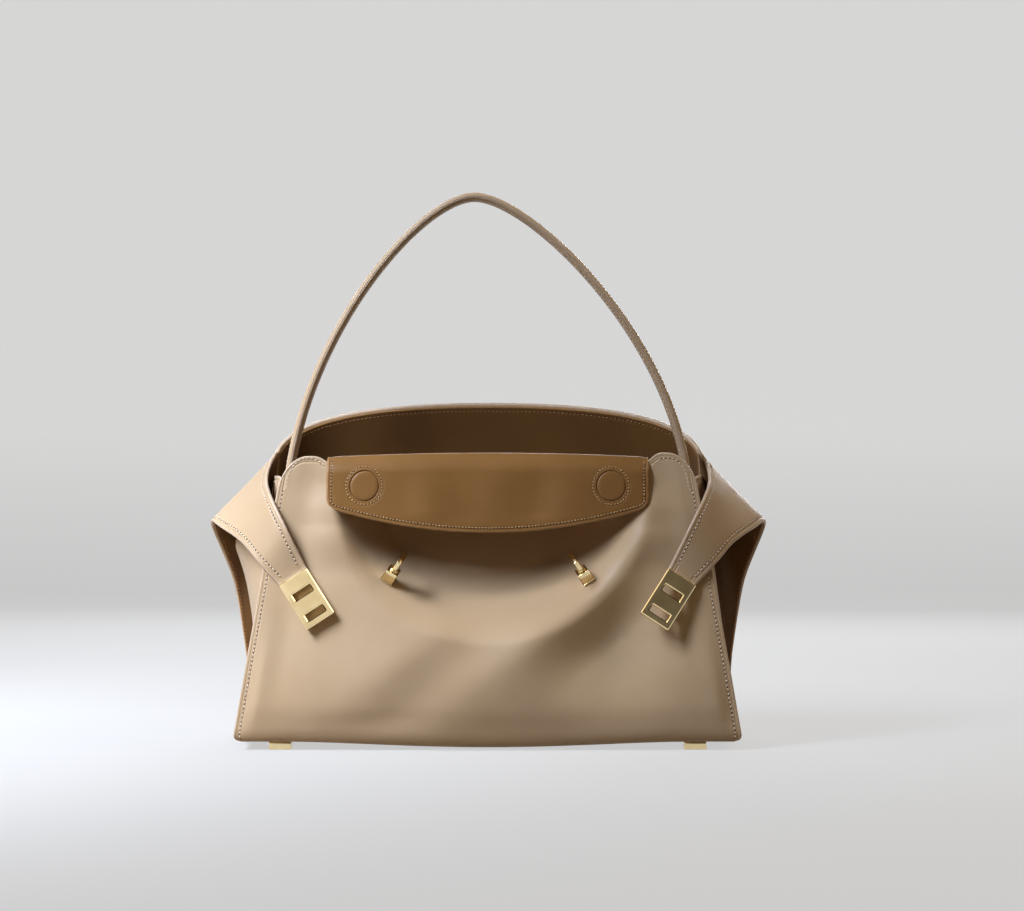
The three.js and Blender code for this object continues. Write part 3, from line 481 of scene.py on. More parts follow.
def unit(a):
    return a / np.maximum(np.linalg.norm(a, axis=-1, keepdims=True), 1e-12)


def stack(*parts):
    return np.stack(np.broadcast_arrays(*parts), axis=-1).astype(float)


def normals_of(surface, u, v, step=NORMAL_STEP):
    along_u = surface(u + step, v) - surface(u - step, v)
    along_v = surface(u, v + step) - surface(u, v - step)
    return unit(np.cross(along_u, along_v))


def laid(surface, u, v):
    """Points of a surface with their normals."""
    return surface(u, v), normals_of(surface, u, v)


def shifted(places, distance, sign=1):
    """Points moved along their normals, with the normals on the side that is asked for."""
    points, normals = places
    return points + normals * distance, normals * sign


def catmull(points, t):
    """Centripetal Catmull-Rom curve through the points, at shares of the number of spans."""
    place = np.clip(np.asarray(t, float), 0, 1) * (len(points) - 1)
    i = np.minimum(place.astype(int), len(points) - 2)
    w = (place - i)[..., None]
    ends = np.vstack([2 * points[0] - points[1], points, 2 * points[-1] - points[-2]])
    p = [ends[i + k] for k in range(4)]
    d = [np.sqrt(np.linalg.norm(b - a, axis=-1, keepdims=True)) for a, b in zip(p, p[1:])]
    t1 = ((p[1] - p[0]) / d[0] - (p[2] - p[0]) / (d[0] + d[1]) + (p[2] - p[1]) / d[1]) * d[1]
    t2 = ((p[2] - p[1]) / d[1] - (p[3] - p[1]) / (d[1] + d[2]) + (p[3] - p[2]) / d[2]) * d[1]
    return p[1] + t1 * w + (3 * (p[2] - p[1]) - 2 * t1 - t2) * w**2 + (2 * (p[1] - p[2]) + t1 + t2) * w**3


def bezier(points, t):
    """A Bezier curve of any degree."""
    t = np.asarray(t, float)[..., None]
    level = [np.asarray(p, float) for p in points]
    while len(level) > 1:
        level = [mix(a, b, t) for a, b in zip(level, level[1:])]
    return level[0]


def resample(path, count):
    """Points evenly spaced along a polyline."""
    gone = np.concatenate([[0], np.cumsum(np.linalg.norm(np.diff(path, axis=0), axis=1))])
    at = np.linspace(0, gone[-1], count)
    return np.stack([np.interp(at, gone, path[:, k]) for k in range(path.shape[1])], axis=-1)


def path_length(path):
    return np.linalg.norm(np.diff(path, axis=0), axis=1).sum()


# Front: the solid's shape, and the soft folds on it
def sag(x):
    share = np.minimum(1, np.abs(x) / FOOT_X)
    return BASE_SAG * (1 - share**2) ** 2


def front_half_width(height):
    return mix(BASE_WIDTH / 2, HALF_FRONT, height / FRONT_HEIGHT)


def hollow(x, height, floor, rim):
    """Depth of the hollow under the flap, whose floor and rim end at these shares of its half sizes."""
    ring = np.hypot(x / BOWL_HALF_WIDTH, (height - BOWL_HEIGHT) / BOWL_DROP)
    return BOWL_DEPTH * fade(ring, floor, rim) * fade(height, FRONT_HEIGHT - BOWL_LIP, FRONT_HEIGHT)


def front_at(x, height):
    half = front_half_width(height)
    lean = mix(BASE_DEPTH / 2, FRONT_TOP_REACH, height / FRONT_HEIGHT)
    rise = np.clip(height / BELLY_HEIGHT, 0, 1)
    belly = BELLY * np.sin(np.pi * rise) * (1 - np.minimum(1, np.abs(x) / half) ** 2)
    edge = EDGE_LIFT * smooth(np.abs(x), half - EDGE_LIFT_WIDTH, half) * smooth(height, 0, SAG_FADE)
    z = height - sag(x) * fade(height, 0, SAG_FADE)
    return stack(x, hollow(x, height, BOWL_FLOOR, BOWL_RIM) - lean - belly - edge, z)


def turned(x, height, place, angle):
    """Distances along a slanting line and to its lower right."""
    c, s = math.cos(math.radians(angle)), math.sin(math.radians(angle))
    return (x - place[0]) * c + (height - place[1]) * s, (x - place[0]) * s - (height - place[1]) * c


def front_folds(x, height):
    """How far the soft front stands out from its plain shape."""
    wall = hollow(x, height, BOWL_FLOOR, BOWL_RIM) - hollow(x, height, WALL_FLOOR, WALL_RIM)
    folds = wall * smooth(-x, *WALL_SIDE_SPAN) * smooth(height, *WALL_HEIGHT_SPAN)
    along, below = turned(x, height, FALL_PLACE, FALL_ANGLE)
    reach = smooth(along, *FALL_START_SPAN) * fade(along, *FALL_END_SPAN)
    reach = reach * fade(x, *FALL_SIDE_SPAN) * smooth(height, *FALL_HEIGHT_SPAN)
    fall = smooth(below, *FALL_SPAN) * (1 - FALL_RETURN * smooth(below, *FALL_RETURN_SPAN))
    folds = folds + reach * (RIDGE * bump(below, RIDGE_AT, RIDGE_WIDTH) - FALL_DEPTH * fall)
    along, below = turned(x, height, CREASE_PLACE, CREASE_ANGLE)
    reach = bump(along, 0, CREASE_LENGTH) * smooth(height, *CREASE_HEIGHT_SPAN)
    rise = CREASE_RISE * bump(below, -CREASE_ASIDE, CREASE_WIDTH)
    folds = folds + reach * (rise - CREASE_FALL * bump(below, CREASE_ASIDE, CREASE_WIDTH))
    swell = smooth(below, *LOW_SWELL_SPAN) * fade(x, *LOW_SWELL_SIDE_SPAN)
    swell = swell * smooth(height, *LOW_SWELL_RISE_SPAN) * fade(height, *LOW_SWELL_FADE_SPAN)
    roll = smooth(height, *ROLL_RISE_SPAN) * fade(height, *ROLL_FADE_SPAN)
    folds = folds + LOW_SWELL * swell + ROLL * roll
    pillar = smooth(height, *PILLAR_RISE_SPAN) * (1 - PILLAR_FADE * smooth(height, *PILLAR_FADE_SPAN))
    folds = folds + PILLAR * pillar * np.maximum(bump(-x, *LEFT_PILLAR), bump(x, *RIGHT_PILLAR))
    to_tip = np.hypot(np.abs(x) - TIP_FROM_MIDDLE, height - TIP_HEIGHT)
    folds = folds + TIP_CUSHION * bump(to_tip, 0, TIP_CUSHION_WIDTH)
    to_lock = np.hypot(np.abs(x) - LOCK_FROM_MIDDLE, height - LOCK_HEIGHT)
    return folds * smooth(to_lock, *LOCK_SPAN) * fade(np.abs(x) - front_half_width(height), *SEAM_SPAN)


def front_shown(x, height):
    """The front with its soft folds, turning under along the base."""
    point = front_at(x, height)
    under = quarter(1 - (height - FRONT_LOW) / TURN_UNDER_HEIGHT)
    point[..., 1] += TURN_UNDER * under - front_folds(x, height)
    return point


def shown_half_width(height):
    return front_half_width(height) - LOW_CORNER * quarter(1 - (height - FRONT_LOW) / LOW_CORNER)


def front_top(across):
    x = np.abs(across) * HALF_FRONT
    rounding = EAR_CORNER_HEIGHT * quarter((x - HALF_FRONT + EAR_CORNER_WIDTH) / EAR_CORNER_WIDTH)
    rise = np.where(across > 0, EAR_RISE + RIGHT_EAR_LIFT, EAR_RISE)
    return FRONT_HEIGHT + rise * smooth(x, HALF_FLAP - EAR_SLOPE, HALF_FLAP + 2 * EAR_SLOPE) - rounding


def front_surface(across, up):
    height = mix(FRONT_LOW, front_top(across), up)
    return front_shown(across * shown_half_width(height), height)


# Places of the left tip and the left lock on the front
def frame_at(origin, outward, upward):
    """Columns x, y, z of a frame whose z is outward and whose y is near upward, with its origin."""
    x = unit(np.cross(upward, outward))
    return origin, x, np.cross(outward, x), outward


def in_frame(place, points):
    origin, x, y, z = place
    points = np.asarray(points, float)
    return origin + points[..., :1] * x + points[..., 1:2] * y + points[..., 2:] * z


tip_seat, tip_outward = laid(front_at, -TIP_FROM_MIDDLE, TIP_HEIGHT)
tip_centre = tip_seat + tip_outward * (TIP_STAND_OFF + TIP_THICKNESS / 2)
tip_lean = math.radians(TIP_LEAN)
tip_frame = frame_at(tip_centre, tip_outward, np.array([-math.sin(tip_lean), 0, math.cos(tip_lean)]))
lock_frame = frame_at(*laid(front_at, -LOCK_FROM_MIDDLE, LOCK_HEIGHT), np.array([0.0, 1.0, 0.0]))


# Left wing with its strap, the back and the left gusset
def hanging(start, end, hang):
    distance = np.linalg.norm(end - start)
    return [mix(start, end, row[0]) + np.array(row[1:]) * distance for row in hang]


def band_edge(seam, fold, mouth, wing_hang, strap_hang):
    return np.array([seam, *hanging(seam, fold, wing_hang), fold, *hanging(fold, mouth, strap_hang), mouth])


fold_top = np.array(FOLD_TOP)
fold_low = fold_top + np.array(FOLD_RUN)
seam_top = fold_top + np.array(SEAM_RUN)
base_corner = np.array([-BASE_WIDTH / 2, BASE_DEPTH / 2, PANEL_LOW])
tongue_half = TIP_WIDTH / 2 - TIP_WALL - FIT
strap_mouth = TIP_LENGTH / 2 + MOUTH_LEAD
mouth_top, mouth_low = (in_frame(tip_frame, [end * tongue_half, strap_mouth, STRAP / 2]) for end in (1, -1))
top_edge = band_edge(seam_top, fold_top, mouth_top, WING_TOP_HANG, STRAP_TOP_HANG)
low_edge = band_edge(base_corner, fold_low, mouth_low, WING_LOW_HANG, STRAP_LOW_HANG)
wing_low_line = catmull(low_edge, np.linspace(0, FOLD_SHARE, CURVE_POINTS))
back_top = (
    (0, BACK_TOP_REACH, BACK_HEIGHT),
    (seam_top[0] * BACK_TOP_FLAT, BACK_TOP_REACH, BACK_HEIGHT),
    (seam_top[0] * BACK_SHOULDER, BACK_TOP_REACH - BACK_SHOULDER_FORWARD, BACK_HEIGHT - BACK_SHOULDER_DROP),
    tuple(seam_top),
)


def wing_surface(along, up):
    along, up = np.broadcast_arrays(np.asarray(along, float), np.asarray(up, float))
    past = np.maximum(0, along - 1)[..., None] * TIP_LENGTH * tip_frame[2]
    return mix(catmull(low_edge, along) - past, catmull(top_edge, along) - past, up[..., None])


def band_width(along):
    return np.linalg.norm(wing_surface(along, 1) - wing_surface(along, 0), axis=-1)


def back_surface(along, up):
    """Back panel between the gussets' seams: -1 is the right seam and 1 the left one."""
    along, up = np.broadcast_arrays(np.asarray(along, float), np.asarray(up, float))
    share = np.abs(along)
    top = bezier(back_top, share)
    x = base_corner[0] * top[..., 0] / seam_top[0]
    point = mix(stack(x, base_corner[1], PANEL_LOW), top, up[..., None])
    point[..., 1] += BACK_BULGE * np.sin(np.pi * up) * (1 - share**2)
    point[..., 2] -= sag(x) * fade(point[..., 2], 0, SAG_FADE)
    point[..., 0] *= np.where(along < 0, -1, 1)
    return point


def gusset_at(along, height):
    """Left gusset: 0 is its back seam and 1 its front seam."""
    along, height = np.broadcast_arrays(np.asarray(along, float), np.asarray(height, float))
    up = (height - PANEL_LOW) / (seam_top[2] - PANEL_LOW)
    back = wing_surface(np.zeros_like(up), up)
    back = back - normals_of(wing_surface, np.full_like(up, SEAM_NORMAL_AT), up) * PANEL_LOW
    front_x = SEAM_MARGIN - front_half_width(height)
    front = front_shown(front_x, height) - normals_of(front_at, front_x, height) * PANEL_LOW
    point = mix(back, front, along[..., None])
    point[..., 0] -= GUSSET_BULGE * np.sin(np.pi * along)
    point[..., 2] = height
    return point


def gusset_surface(along, up):
    return gusset_at(along, mix(PANEL_LOW, GUSSET_HEIGHT, up))


def gusset_shown(along, up, swollen):
    """The gusset dips toward the ear, and can swell to a margin inside the wing's lower edge."""
    point = gusset_surface(along, up * (1 - GUSSET_DIP * smooth(along, *GUSSET_DIP_SPAN)))
    height = point[..., 2]
    edge_x = np.interp(height, wing_low_line[:, 2], wing_low_line[:, 0])
    swell = np.maximum(0, np.min(point[..., 0], axis=-1, keepdims=True) - edge_x - SWELL_MARGIN)
    swell = swollen * swell * smooth(height, *SWELL_RISE_SPAN) * fade(height, *SWELL_FADE_SPAN)
    point[..., 0] -= swell * np.sin(np.pi * np.clip(along, 0, 1) ** SWELL_SKEW)
    tuck = smooth(along, *GUSSET_TUCK_SPAN) * fade(along, *GUSSET_TUCK_FADE_SPAN)
    point[..., 0] += GUSSET_TUCK * tuck * smooth(height, *GUSSET_TUCK_HEIGHT_SPAN)
    return point


# Meshes are gathered in plain lists and made into objects at the end of each piece
class Shape:
    def __init__(self):
        self.points = []
        self.faces = []
        self.slots = []
        self.count = 0

    def add(self, points, faces=(), slot=0, flip=False):
        """Adds points with faces between them, and returns the number of the first point."""
        first = self.count
        points = np.asarray(points, float).reshape(-1, 3)
        self.points.append(points)
        self.count += len(points)
        self.join(faces, slot, flip, first)
        return first

    def join(self, faces, slot=0, flip=False, first=0):
        """Adds faces between points that are there."""
        for face in faces:
            face = tuple(int(i) + first for i in face)
            self.faces.append(face[::-1] if flip else face)
            self.slots.append(slot)

    def make(self, name, materials, mirror=False, sharp=None, flat=()):
        points = np.vstack(self.points) + np.array([0, 0, FOOT_HEIGHT])
        if mirror:
            points = points * np.array([-1, 1, 1])
        mesh = bpy.data.meshes.new(name)
        faces = [face[::-1] for face in self.faces] if mirror else self.faces
        mesh.from_pydata((points * MM).tolist(), [], faces)
        for material in materials:
            mesh.materials.append(material)
        mesh.polygons.foreach_set("material_index", self.slots)
        mesh.polygons.foreach_set("use_smooth", [slot not in flat for slot in self.slots])
        if sharp is not None:
            mesh.set_sharp_from_angle(angle=math.radians(sharp))
        mesh.update()
        piece = bpy.data.objects.new(name, mesh)
        bpy.context.scene.collection.objects.link(piece)
        return piece


def quads(rows, columns):
    at = np.arange(rows * columns).reshape(rows, columns)
    corners = (at[:-1, :-1], at[:-1, 1:], at[1:, 1:], at[1:, :-1])
    return np.stack([c.ravel() for c in corners], axis=-1)


def tube(rings, sides):
    """Faces between closed rings of points."""
    faces = []
    for r in range(rings - 1):
        for s in range(sides):
            a, b = r * sides + s, r * sides + (s + 1) % sides
            faces.append((a, b, b + sides, a + sides))
    return faces


def capped_tube(rings, sides):
    last = (rings - 1) * sides
    return [*tube(rings, sides), tuple(range(sides))[::-1], tuple(range(last, last + sides))]


def loop_of(rows, columns):
    """Numbers of the points round a grid's border, anticlockwise as seen from outside."""
    top, right = rows - 1, columns - 1
    loop = [(0, c) for c in range(right)] + [(r, right) for r in range(top)]
    loop += [(top, c) for c in range(right, 0, -1)] + [(r, 0) for r in range(top, 0, -1)]
    return np.array([r * columns + c for r, c in loop])


def ply(shape, points, normals, outer, inner):
    """Adds a closed sheet of leather between two distances from a grid, with a half-round painted edge."""
    rows, columns = points.shape[:2]
    outer, inner = (np.broadcast_to(face, (rows, columns))[..., None] for face in (outer, inner))
    faces = quads(rows, columns)
    loop = loop_of(rows, columns)
    rings = [shape.add(points + normals * outer, faces) + loop]
    inner_ring = shape.add(points + normals * inner, faces[:, ::-1]) + loop
    edge, normal = points.reshape(-1, 3)[loop], normals.reshape(-1, 3)[loop]
    high, low = outer.reshape(-1, 1)[loop], inner.reshape(-1, 1)[loop]
    aside = unit(np.cross(unit(np.roll(edge, -1, axis=0) - np.roll(edge, 1, axis=0)), normal))
    middle, half = (high + low) / 2, (high - low) / 2
    for k in range(1, RIM_STEPS):
        angle = math.pi * k / RIM_STEPS
        rim = edge + normal * (middle + half * math.cos(angle)) + aside * half * math.sin(angle)
        rings.append(shape.add(rim) + np.arange(len(loop)))
    rings.append(inner_ring)
    for a, b in zip(rings, rings[1:]):
        shape.join(np.stack([a, b, np.roll(b, -1), np.roll(a, -1)], axis=-1), 1)


def edge_relief(distance, stitches=STITCH_INSET):
    """The leather thins toward a stitched edge, with a creased line and a groove under the thread."""
    crease = CREASE_LINE * bump(distance, stitches / 2, CREASE_LINE_WIDTH)
    groove = GROOVE * bump(distance, stitches, GROOVE_WIDTH)
    return -crease - groove - THINNING * fade(distance, 0, THINNING_REACH * stitches)


def graded(length, count):
    """Shares of a length with fixed steps near both ends: an array of steps by lengths."""
    steps = np.array(EDGE_INSETS)[:, None]
    insets = np.minimum(steps / np.atleast_1d(length)[None, :], GRADED_SHARE * steps / EDGE_INSETS[-1])
    between = np.linspace(0, 1, count + 2)[1:-1, None]
    return np.vstack([insets, mix(insets[-1:], 1 - insets[-1:], between), 1 - insets[::-1]])


def rows_to_edge(low, high, count, length, insets=EDGE_INSETS[::-1]):
    """Even shares of a length from low to high, then finer steps toward its end."""
    return np.concatenate([np.linspace(low, high, count), 1 - np.array(insets) / length])


def stitch_line(shape, path, normals, pitch=PITCH, thread=THREAD, slant=STITCH_SLANT):
    """Adds short arched threads along a polyline on a surface, with a dark disc at the start of each that
    paints the shade in its needle hole.
    """
    length = path_length(path)
    count = max(1, round(length / pitch))
    samples = resample(np.hstack([path, normals]), 2 * count + 1)
    middles, outward = samples[1::2, :3], unit(samples[1::2, 3:])
    along = unit(samples[2::2, :3] - samples[:-2:2, :3])
    aside = unit(np.cross(outward, along))
    outward = np.cross(along, aside)
    c, s = math.cos(math.radians(slant)), math.sin(math.radians(slant))
    along, aside = along * c + aside * s, aside * c - along * s
    angles = np.linspace(0, 2 * math.pi, STITCH_SIDES, endpoint=False)
    rings = []
    for shift, girth, lift in STITCH_RINGS:
        centre = middles + along * shift * length / count * STITCH_SHARE + outward * lift * thread
        circle = [centre + (aside * math.cos(a) + outward * math.sin(a)) * thread * girth for a in angles]
        rings.append(np.stack(circle, axis=1))
    faces = capped_tube(len(STITCH_RINGS), STITCH_SIDES)
    for one in np.stack(rings, axis=1):
        shape.add(one, faces)
    # dark discs where the needle went through: painted shade of the holes
    holes, outward = samples[:-1:2, :3], unit(samples[:-1:2, 3:])
    along = unit(np.cross(outward, np.cross(unit(middles - holes), outward)))
    aside = np.cross(outward, along)
    fan = [(0, i + 1, (i + 1) % STITCH_SIDES + 1) for i in range(STITCH_SIDES)]
    for hole, o, a, b in zip(holes, outward, along, aside):
        rim = [a * math.cos(t) * HOLE_LENGTH + b * math.sin(t) * HOLE_WIDTH - o * HOLE_SINK for t in angles]
        shape.add([hole + o * HOLE_RISE, *[hole + p for p in rim]], fan, 1)


# Materials
def colour(hexa):
    """Linear colour of an sRGB hex number."""
    parts = [((hexa >> shift) & 255) / 255 for shift in (16, 8, 0)]
    return (*[p / 12.92 if p <= 0.04045 else ((p + 0.055) / 1.055) ** 2.4 for p in parts], 1)


class Tree:
    """Adds and joins the nodes of a material or a world."""

    def __init__(self, owner):
        owner.use_nodes = True
        self.nodes = owner.node_tree.nodes
        self.links = owner.node_tree.links

    def fill(self, node, inputs):
        """Sets a node's inputs to values, or joins them to other nodes' outputs."""
        for name, value in inputs.items():
            if isinstance(value, bpy.types.NodeSocket):
                self.links.new(value, node.inputs[name])
            else:
                node.inputs[name].default_value = value

    def add(self, kind, output, inputs, **settings):
        node = self.nodes.new("ShaderNode" + kind)
        for name, value in settings.items():
            setattr(node, name, value)
        self.fill(node, inputs)
        return node.outputs[output]

    def noise(self, coords, scale, detail=CLOUD_DETAIL):
        return self.add("TexNoise", "Fac", {"Vector": coords, "Scale": scale, "Detail": detail})

    def ramp(self, value, low, high, start, end):
        span = {"From Min": start, "From Max": end, "To Min": low, "To Max": high}
        return self.add("MapRange", "Result", {"Value": value, **span})

    def two_tone(self, value, light, dark):
        tones = self.nodes.new("ShaderNodeValToRGB")
        for element, tone, stop in zip(tones.color_ramp.elements, (dark, light), TONE_STOPS):
            element.color = colour(tone)
            element.position = stop
        self.fill(tones, {"Fac": value})
        return tones.outputs["Color"]

    def relief(self, height, strength, distance):
        return self.add("Bump", "Normal", {"Height": height, "Strength": strength, "Distance": distance})


def new_material(name):
    material = bpy.data.materials.new(name)
    tree = Tree(material)
    return material, tree, tree.add("TexCoord", "Object", {})


def leather(name, light, dark, rough, grain=0.12, cell=1500.0):
    """Smooth calf leather: fine pores and creases, and a slow drift of tone and gloss."""
    material, tree, coords = new_material(name)
    gloss = tree.noise(coords, GLOSS_SCALE)
    cells = tree.add("TexVoronoi", "Distance", {"Vector": coords, "Scale": cell}, feature="SMOOTH_F1")
    pores = tree.noise(coords, cell * PORE_SCALE, FINE_DETAIL)
    both = tree.add("Math", "Value", {0: cells, 1: pores}, operation="ADD")
    tree.fill(tree.nodes["Principled BSDF"], {
        "Base Color": tree.two_tone(tree.noise(coords, TONE_SCALE, TONE_DETAIL), light, dark),
        "Roughness": tree.ramp(gloss, rough - GLOSS_DRIFT, rough + LEATHER_DULL, *GLOSS_SPAN),
        "Normal": tree.relief(both, grain, GRAIN_HEIGHT),
        "Sheen Weight": SHEEN,
        "Sheen Roughness": SHEEN_ROUGHNESS,
        "Specular IOR Level": LEATHER_SPECULAR,
    })
    return material


def metal(name, light, dark, rough, brushed=0.0):
    """Plated metal: a slight cloud in its tone and gloss, and fine lines where it is brushed."""
    material, tree, coords = new_material(name)
    shader = tree.nodes["Principled BSDF"]
    cloud = tree.noise(coords, METAL_SCALE)
    tree.fill(shader, {
        "Base Color": tree.two_tone(cloud, light, dark),
        "Roughness": tree.ramp(cloud, rough * (1 - METAL_GLOSS), rough * (1 + METAL_GLOSS), *GLOSS_SPAN),
        "Metallic": 1.0,
    })
    if brushed:
        lines = tree.noise(coords, BRUSH_SCALE, FINE_DETAIL)
        tree.fill(shader, {"Normal": tree.relief(lines, brushed, BRUSH_HEIGHT)})
    return material


def plain(name, light, dark, rough, scale):
    """Thread, paint and board: two close tones in fine clouds."""
    material, tree, coords = new_material(name)
    cloud = tree.noise(coords, scale)
    tree.fill(tree.nodes["Principled BSDF"], {
        "Base Color": tree.two_tone(cloud, light, dark),
        "Roughness": tree.ramp(cloud, rough - GLOSS_DRIFT, rough + GLOSS_DRIFT, *GLOSS_SPAN),
        "Normal": tree.relief(cloud, PLAIN_RELIEF, PLAIN_HEIGHT),
    })
    return material


TAN = leather("tan_leather", 0xC0A683, 0xB89D79, 0.48)
# Tan edge paint, set lighter than the leather: partly its own colour, partly a painted highlight along the
# rounded edges and the handle's seam
TAN_EDGE_PAINT_AND_HIGHLIGHT = plain("tan_edge_paint_and_highlight", 0xCDB79D, 0xC3AB8F, 0.42, 300.0)
BROWN = leather("brown_leather", 0x8A6334, 0x7D582B, 0.35, grain=0.1, cell=1300.0)
# Inner plies: the flap's brown leather painted darker, standing in for the shade inside the bag
LINING_PAINTED_SHADE = leather("brown_lining_painted_shade", 0x6C4A22, 0x61411C, 0.5, grain=0.1, cell=1300.0)
BROWN_EDGE = plain("brown_edge_paint", 0x9C7444, 0x8C6536, 0.42, 300.0)
TAN_THREAD = plain("tan_thread", 0xE2CFB6, 0xD2BA9C, 0.7, 2500.0)
BROWN_THREAD = plain("brown_thread", 0xB9935F, 0xA57F4D, 0.7, 2500.0)
LINER_THREAD = plain("lining_thread", 0x94693A, 0x80582E, 0.7, 2500.0)
# Dark discs at the needle holes: painted shade in the holes
NEEDLE_HOLE_SHADE = plain("needle_hole_painted_shade", 0x3A2A1B, 0x2A1D12, 0.9, 900.0)
GOLD = metal("satin_gold", 0xE3CFA2, 0xDEC99A, 0.3, brushed=0.12)
POLISHED = metal("polished_gold", 0xF0DDAE, 0xE6D09E, 0.08)
STEEL = metal("plain_steel", 0xB6B6B4, 0xA6A6A4, 0.35)
BOARD = plain("fibre_board", 0x6E5F4C, 0x5A4C3B, 0.9, 400.0)
OUTSIDE = (TAN, TAN_EDGE_PAINT_AND_HIGHLIGHT)
# the inner plies take the darkened lining, which paints the shade inside the bag
INSIDE = (LINING_PAINTED_SHADE, BROWN_EDGE)


# Pieces: dress hangs a piece from a body of the part; bend_strap and bend_flap only bake it in place
def sheet(name, places, outer, inner, materials=OUTSIDE, mirror=False):
    shape = Shape()
    ply(shape, *places, outer, inner)
    return shape.make(name, materials, mirror)


def stitches(name, lines, thread=TAN_THREAD, mirror=False):
    shape = Shape()
    for line in lines:
        stitch_line(shape, *line)
    return shape.make(name, [thread, NEEDLE_HOLE_SHADE], mirror)


def label(nodes):
    if nodes:
        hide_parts(*nodes)


def dress(piece, body, slot, *nodes):
    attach(piece, body)
    label(nodes)


def bend_strap(piece, side, slot, *nodes):
    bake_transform(piece)
    label(nodes)


def bend_flap(piece, slot, *nodes):
    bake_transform(piece)
    label(nodes)


def grid(columns, rows, low, high):
    """Even shares across from -1 to 1, and up between two shares."""
    return np.meshgrid(np.linspace(-1, 1, columns), np.linspace(low, high, rows))


# Front panel
def front_leather():
    columns, rows = FRONT_GRID
    rows = graded(FRONT_HEIGHT, rows)[:, 0]
    across = graded(2 * shown_half_width(mix(FRONT_LOW, FRONT_HEIGHT, rows)), columns).T * 2 - 1
    up = np.broadcast_to(rows[:, None], across.shape)
    top = front_top(across)
    half = shown_half_width(mix(FRONT_LOW, top, up))
    hidden = UNDER_FLAP * fade(np.abs(across) * half - HALF_FLAP, *UNDER_FLAP_SPAN)
    distance = np.minimum((1 - np.abs(across)) * half, (1 - up) * (top - FRONT_LOW) + hidden)
    piece = sheet("front_leather", laid(front_surface, across, up), edge_relief(distance), -LEATHER)
    dress(piece, "bag", "tan_leather", "front_panel")


def front_inside():
    across, up = grid(*FRONT_LINING_GRID, (FLOOR_TOP + SEAM_FIT) / FRONT_HEIGHT, FRONT_LINING_TOP)
    across = across * (1 - (SEAM_MARGIN + STRAP + 3 * SEAM_FIT) / HALF_FRONT)
    piece = sheet("front_inside", laid(front_surface, across, up), *FRONT_LINING_PLY, INSIDE)
    dress(piece, "bag", "brown_leather", "front_lining")


def front_edge_path(inset):
    """Polyline on the front panel at a distance inside its side and ear, up to the flap."""
    sides, tops = EDGE_PATH_STEPS
    low, high = FRONT_LOW + EDGE_PATH_END, front_top(np.array(1.0)) - EDGE_PATH_END
    heights = np.linspace(low, high, sides)
    side = np.stack([shown_half_width(heights) - inset, heights], axis=-1)
    across = np.linspace(1, (HALF_FLAP + EDGE_PATH_GAP) / HALF_FRONT, tops)
    top = np.stack([across * HALF_FRONT, front_top(across)], axis=-1)
    along = np.gradient(top, axis=0)
    top = top + unit(np.stack([-along[:, 1], along[:, 0]], axis=-1)) * inset
    return resample(np.vstack([side[side[:, 1] < top[0, 1] - EDGE_PATH_GAP], top]), EDGE_PATH_POINTS)


def front_stitches():
    x, height = front_edge_path(STITCH_INSET).T
    lines = [shifted(laid(front_shown, sign * x, height), -FRONT_STITCH_SEAT) for sign in (-1, 1)]
    dress(stitches("front_stitches", lines), "bag", "tan_leather")


# Back panel
def back_pieces():
    columns, rows = BACK_GRID
    across = graded(BACK_MIDDLE_WIDTH, columns)[:, 0] * 2 - 1
    along, up = np.meshgrid(across, graded(BACK_HEIGHT, rows)[:, 0])
    relief = edge_relief((1 - up) * BACK_EDGE_RISE)
    piece = sheet("back_leather", laid(back_surface, along, up), relief, BACK_INNER)
    dress(piece, "bag", "tan_leather", "back_panel")
    columns, rows = BACK_LINING_GRID
    low = (FLOOR_TOP + 2 * SEAM_FIT - PANEL_LOW) / (seam_top[2] - PANEL_LOW)
    rows = rows_to_edge(low, BELOW_EDGE, rows, BACK_HEIGHT, BACK_LINING_INSETS)
    along, up = np.meshgrid(np.linspace(-BACK_LINING_END, BACK_LINING_END, columns), rows)
    outer, inner = BACK_LINING_PLY
    groove = BACK_GROOVE * bump((1 - up) * BACK_EDGE_RISE, INSIDE_STITCH_INSET, BACK_GROOVE_WIDTH)
    piece = sheet("back_inside", laid(back_surface, along, up), outer, inner + groove, INSIDE)
    dress(piece, "bag", "brown_leather", "back_lining")
    along = np.linspace(-BACK_STITCH_END, BACK_STITCH_END, BACK_STITCH_POINTS)
    for name, thread, inset, offset, sign in (
        ("back_stitches", TAN_THREAD, STITCH_INSET, -STITCH_SEAT, 1),
        ("back_inside_stitches", LINER_THREAD, INSIDE_STITCH_INSET, inner + BACK_LINING_SEAT, -1),
    ):
        places = laid(back_surface, along, np.full_like(along, 1 - inset / BACK_EDGE_RISE))
        dress(stitches(name, [shifted(places, offset, sign)], thread), "bag", "tan_leather")


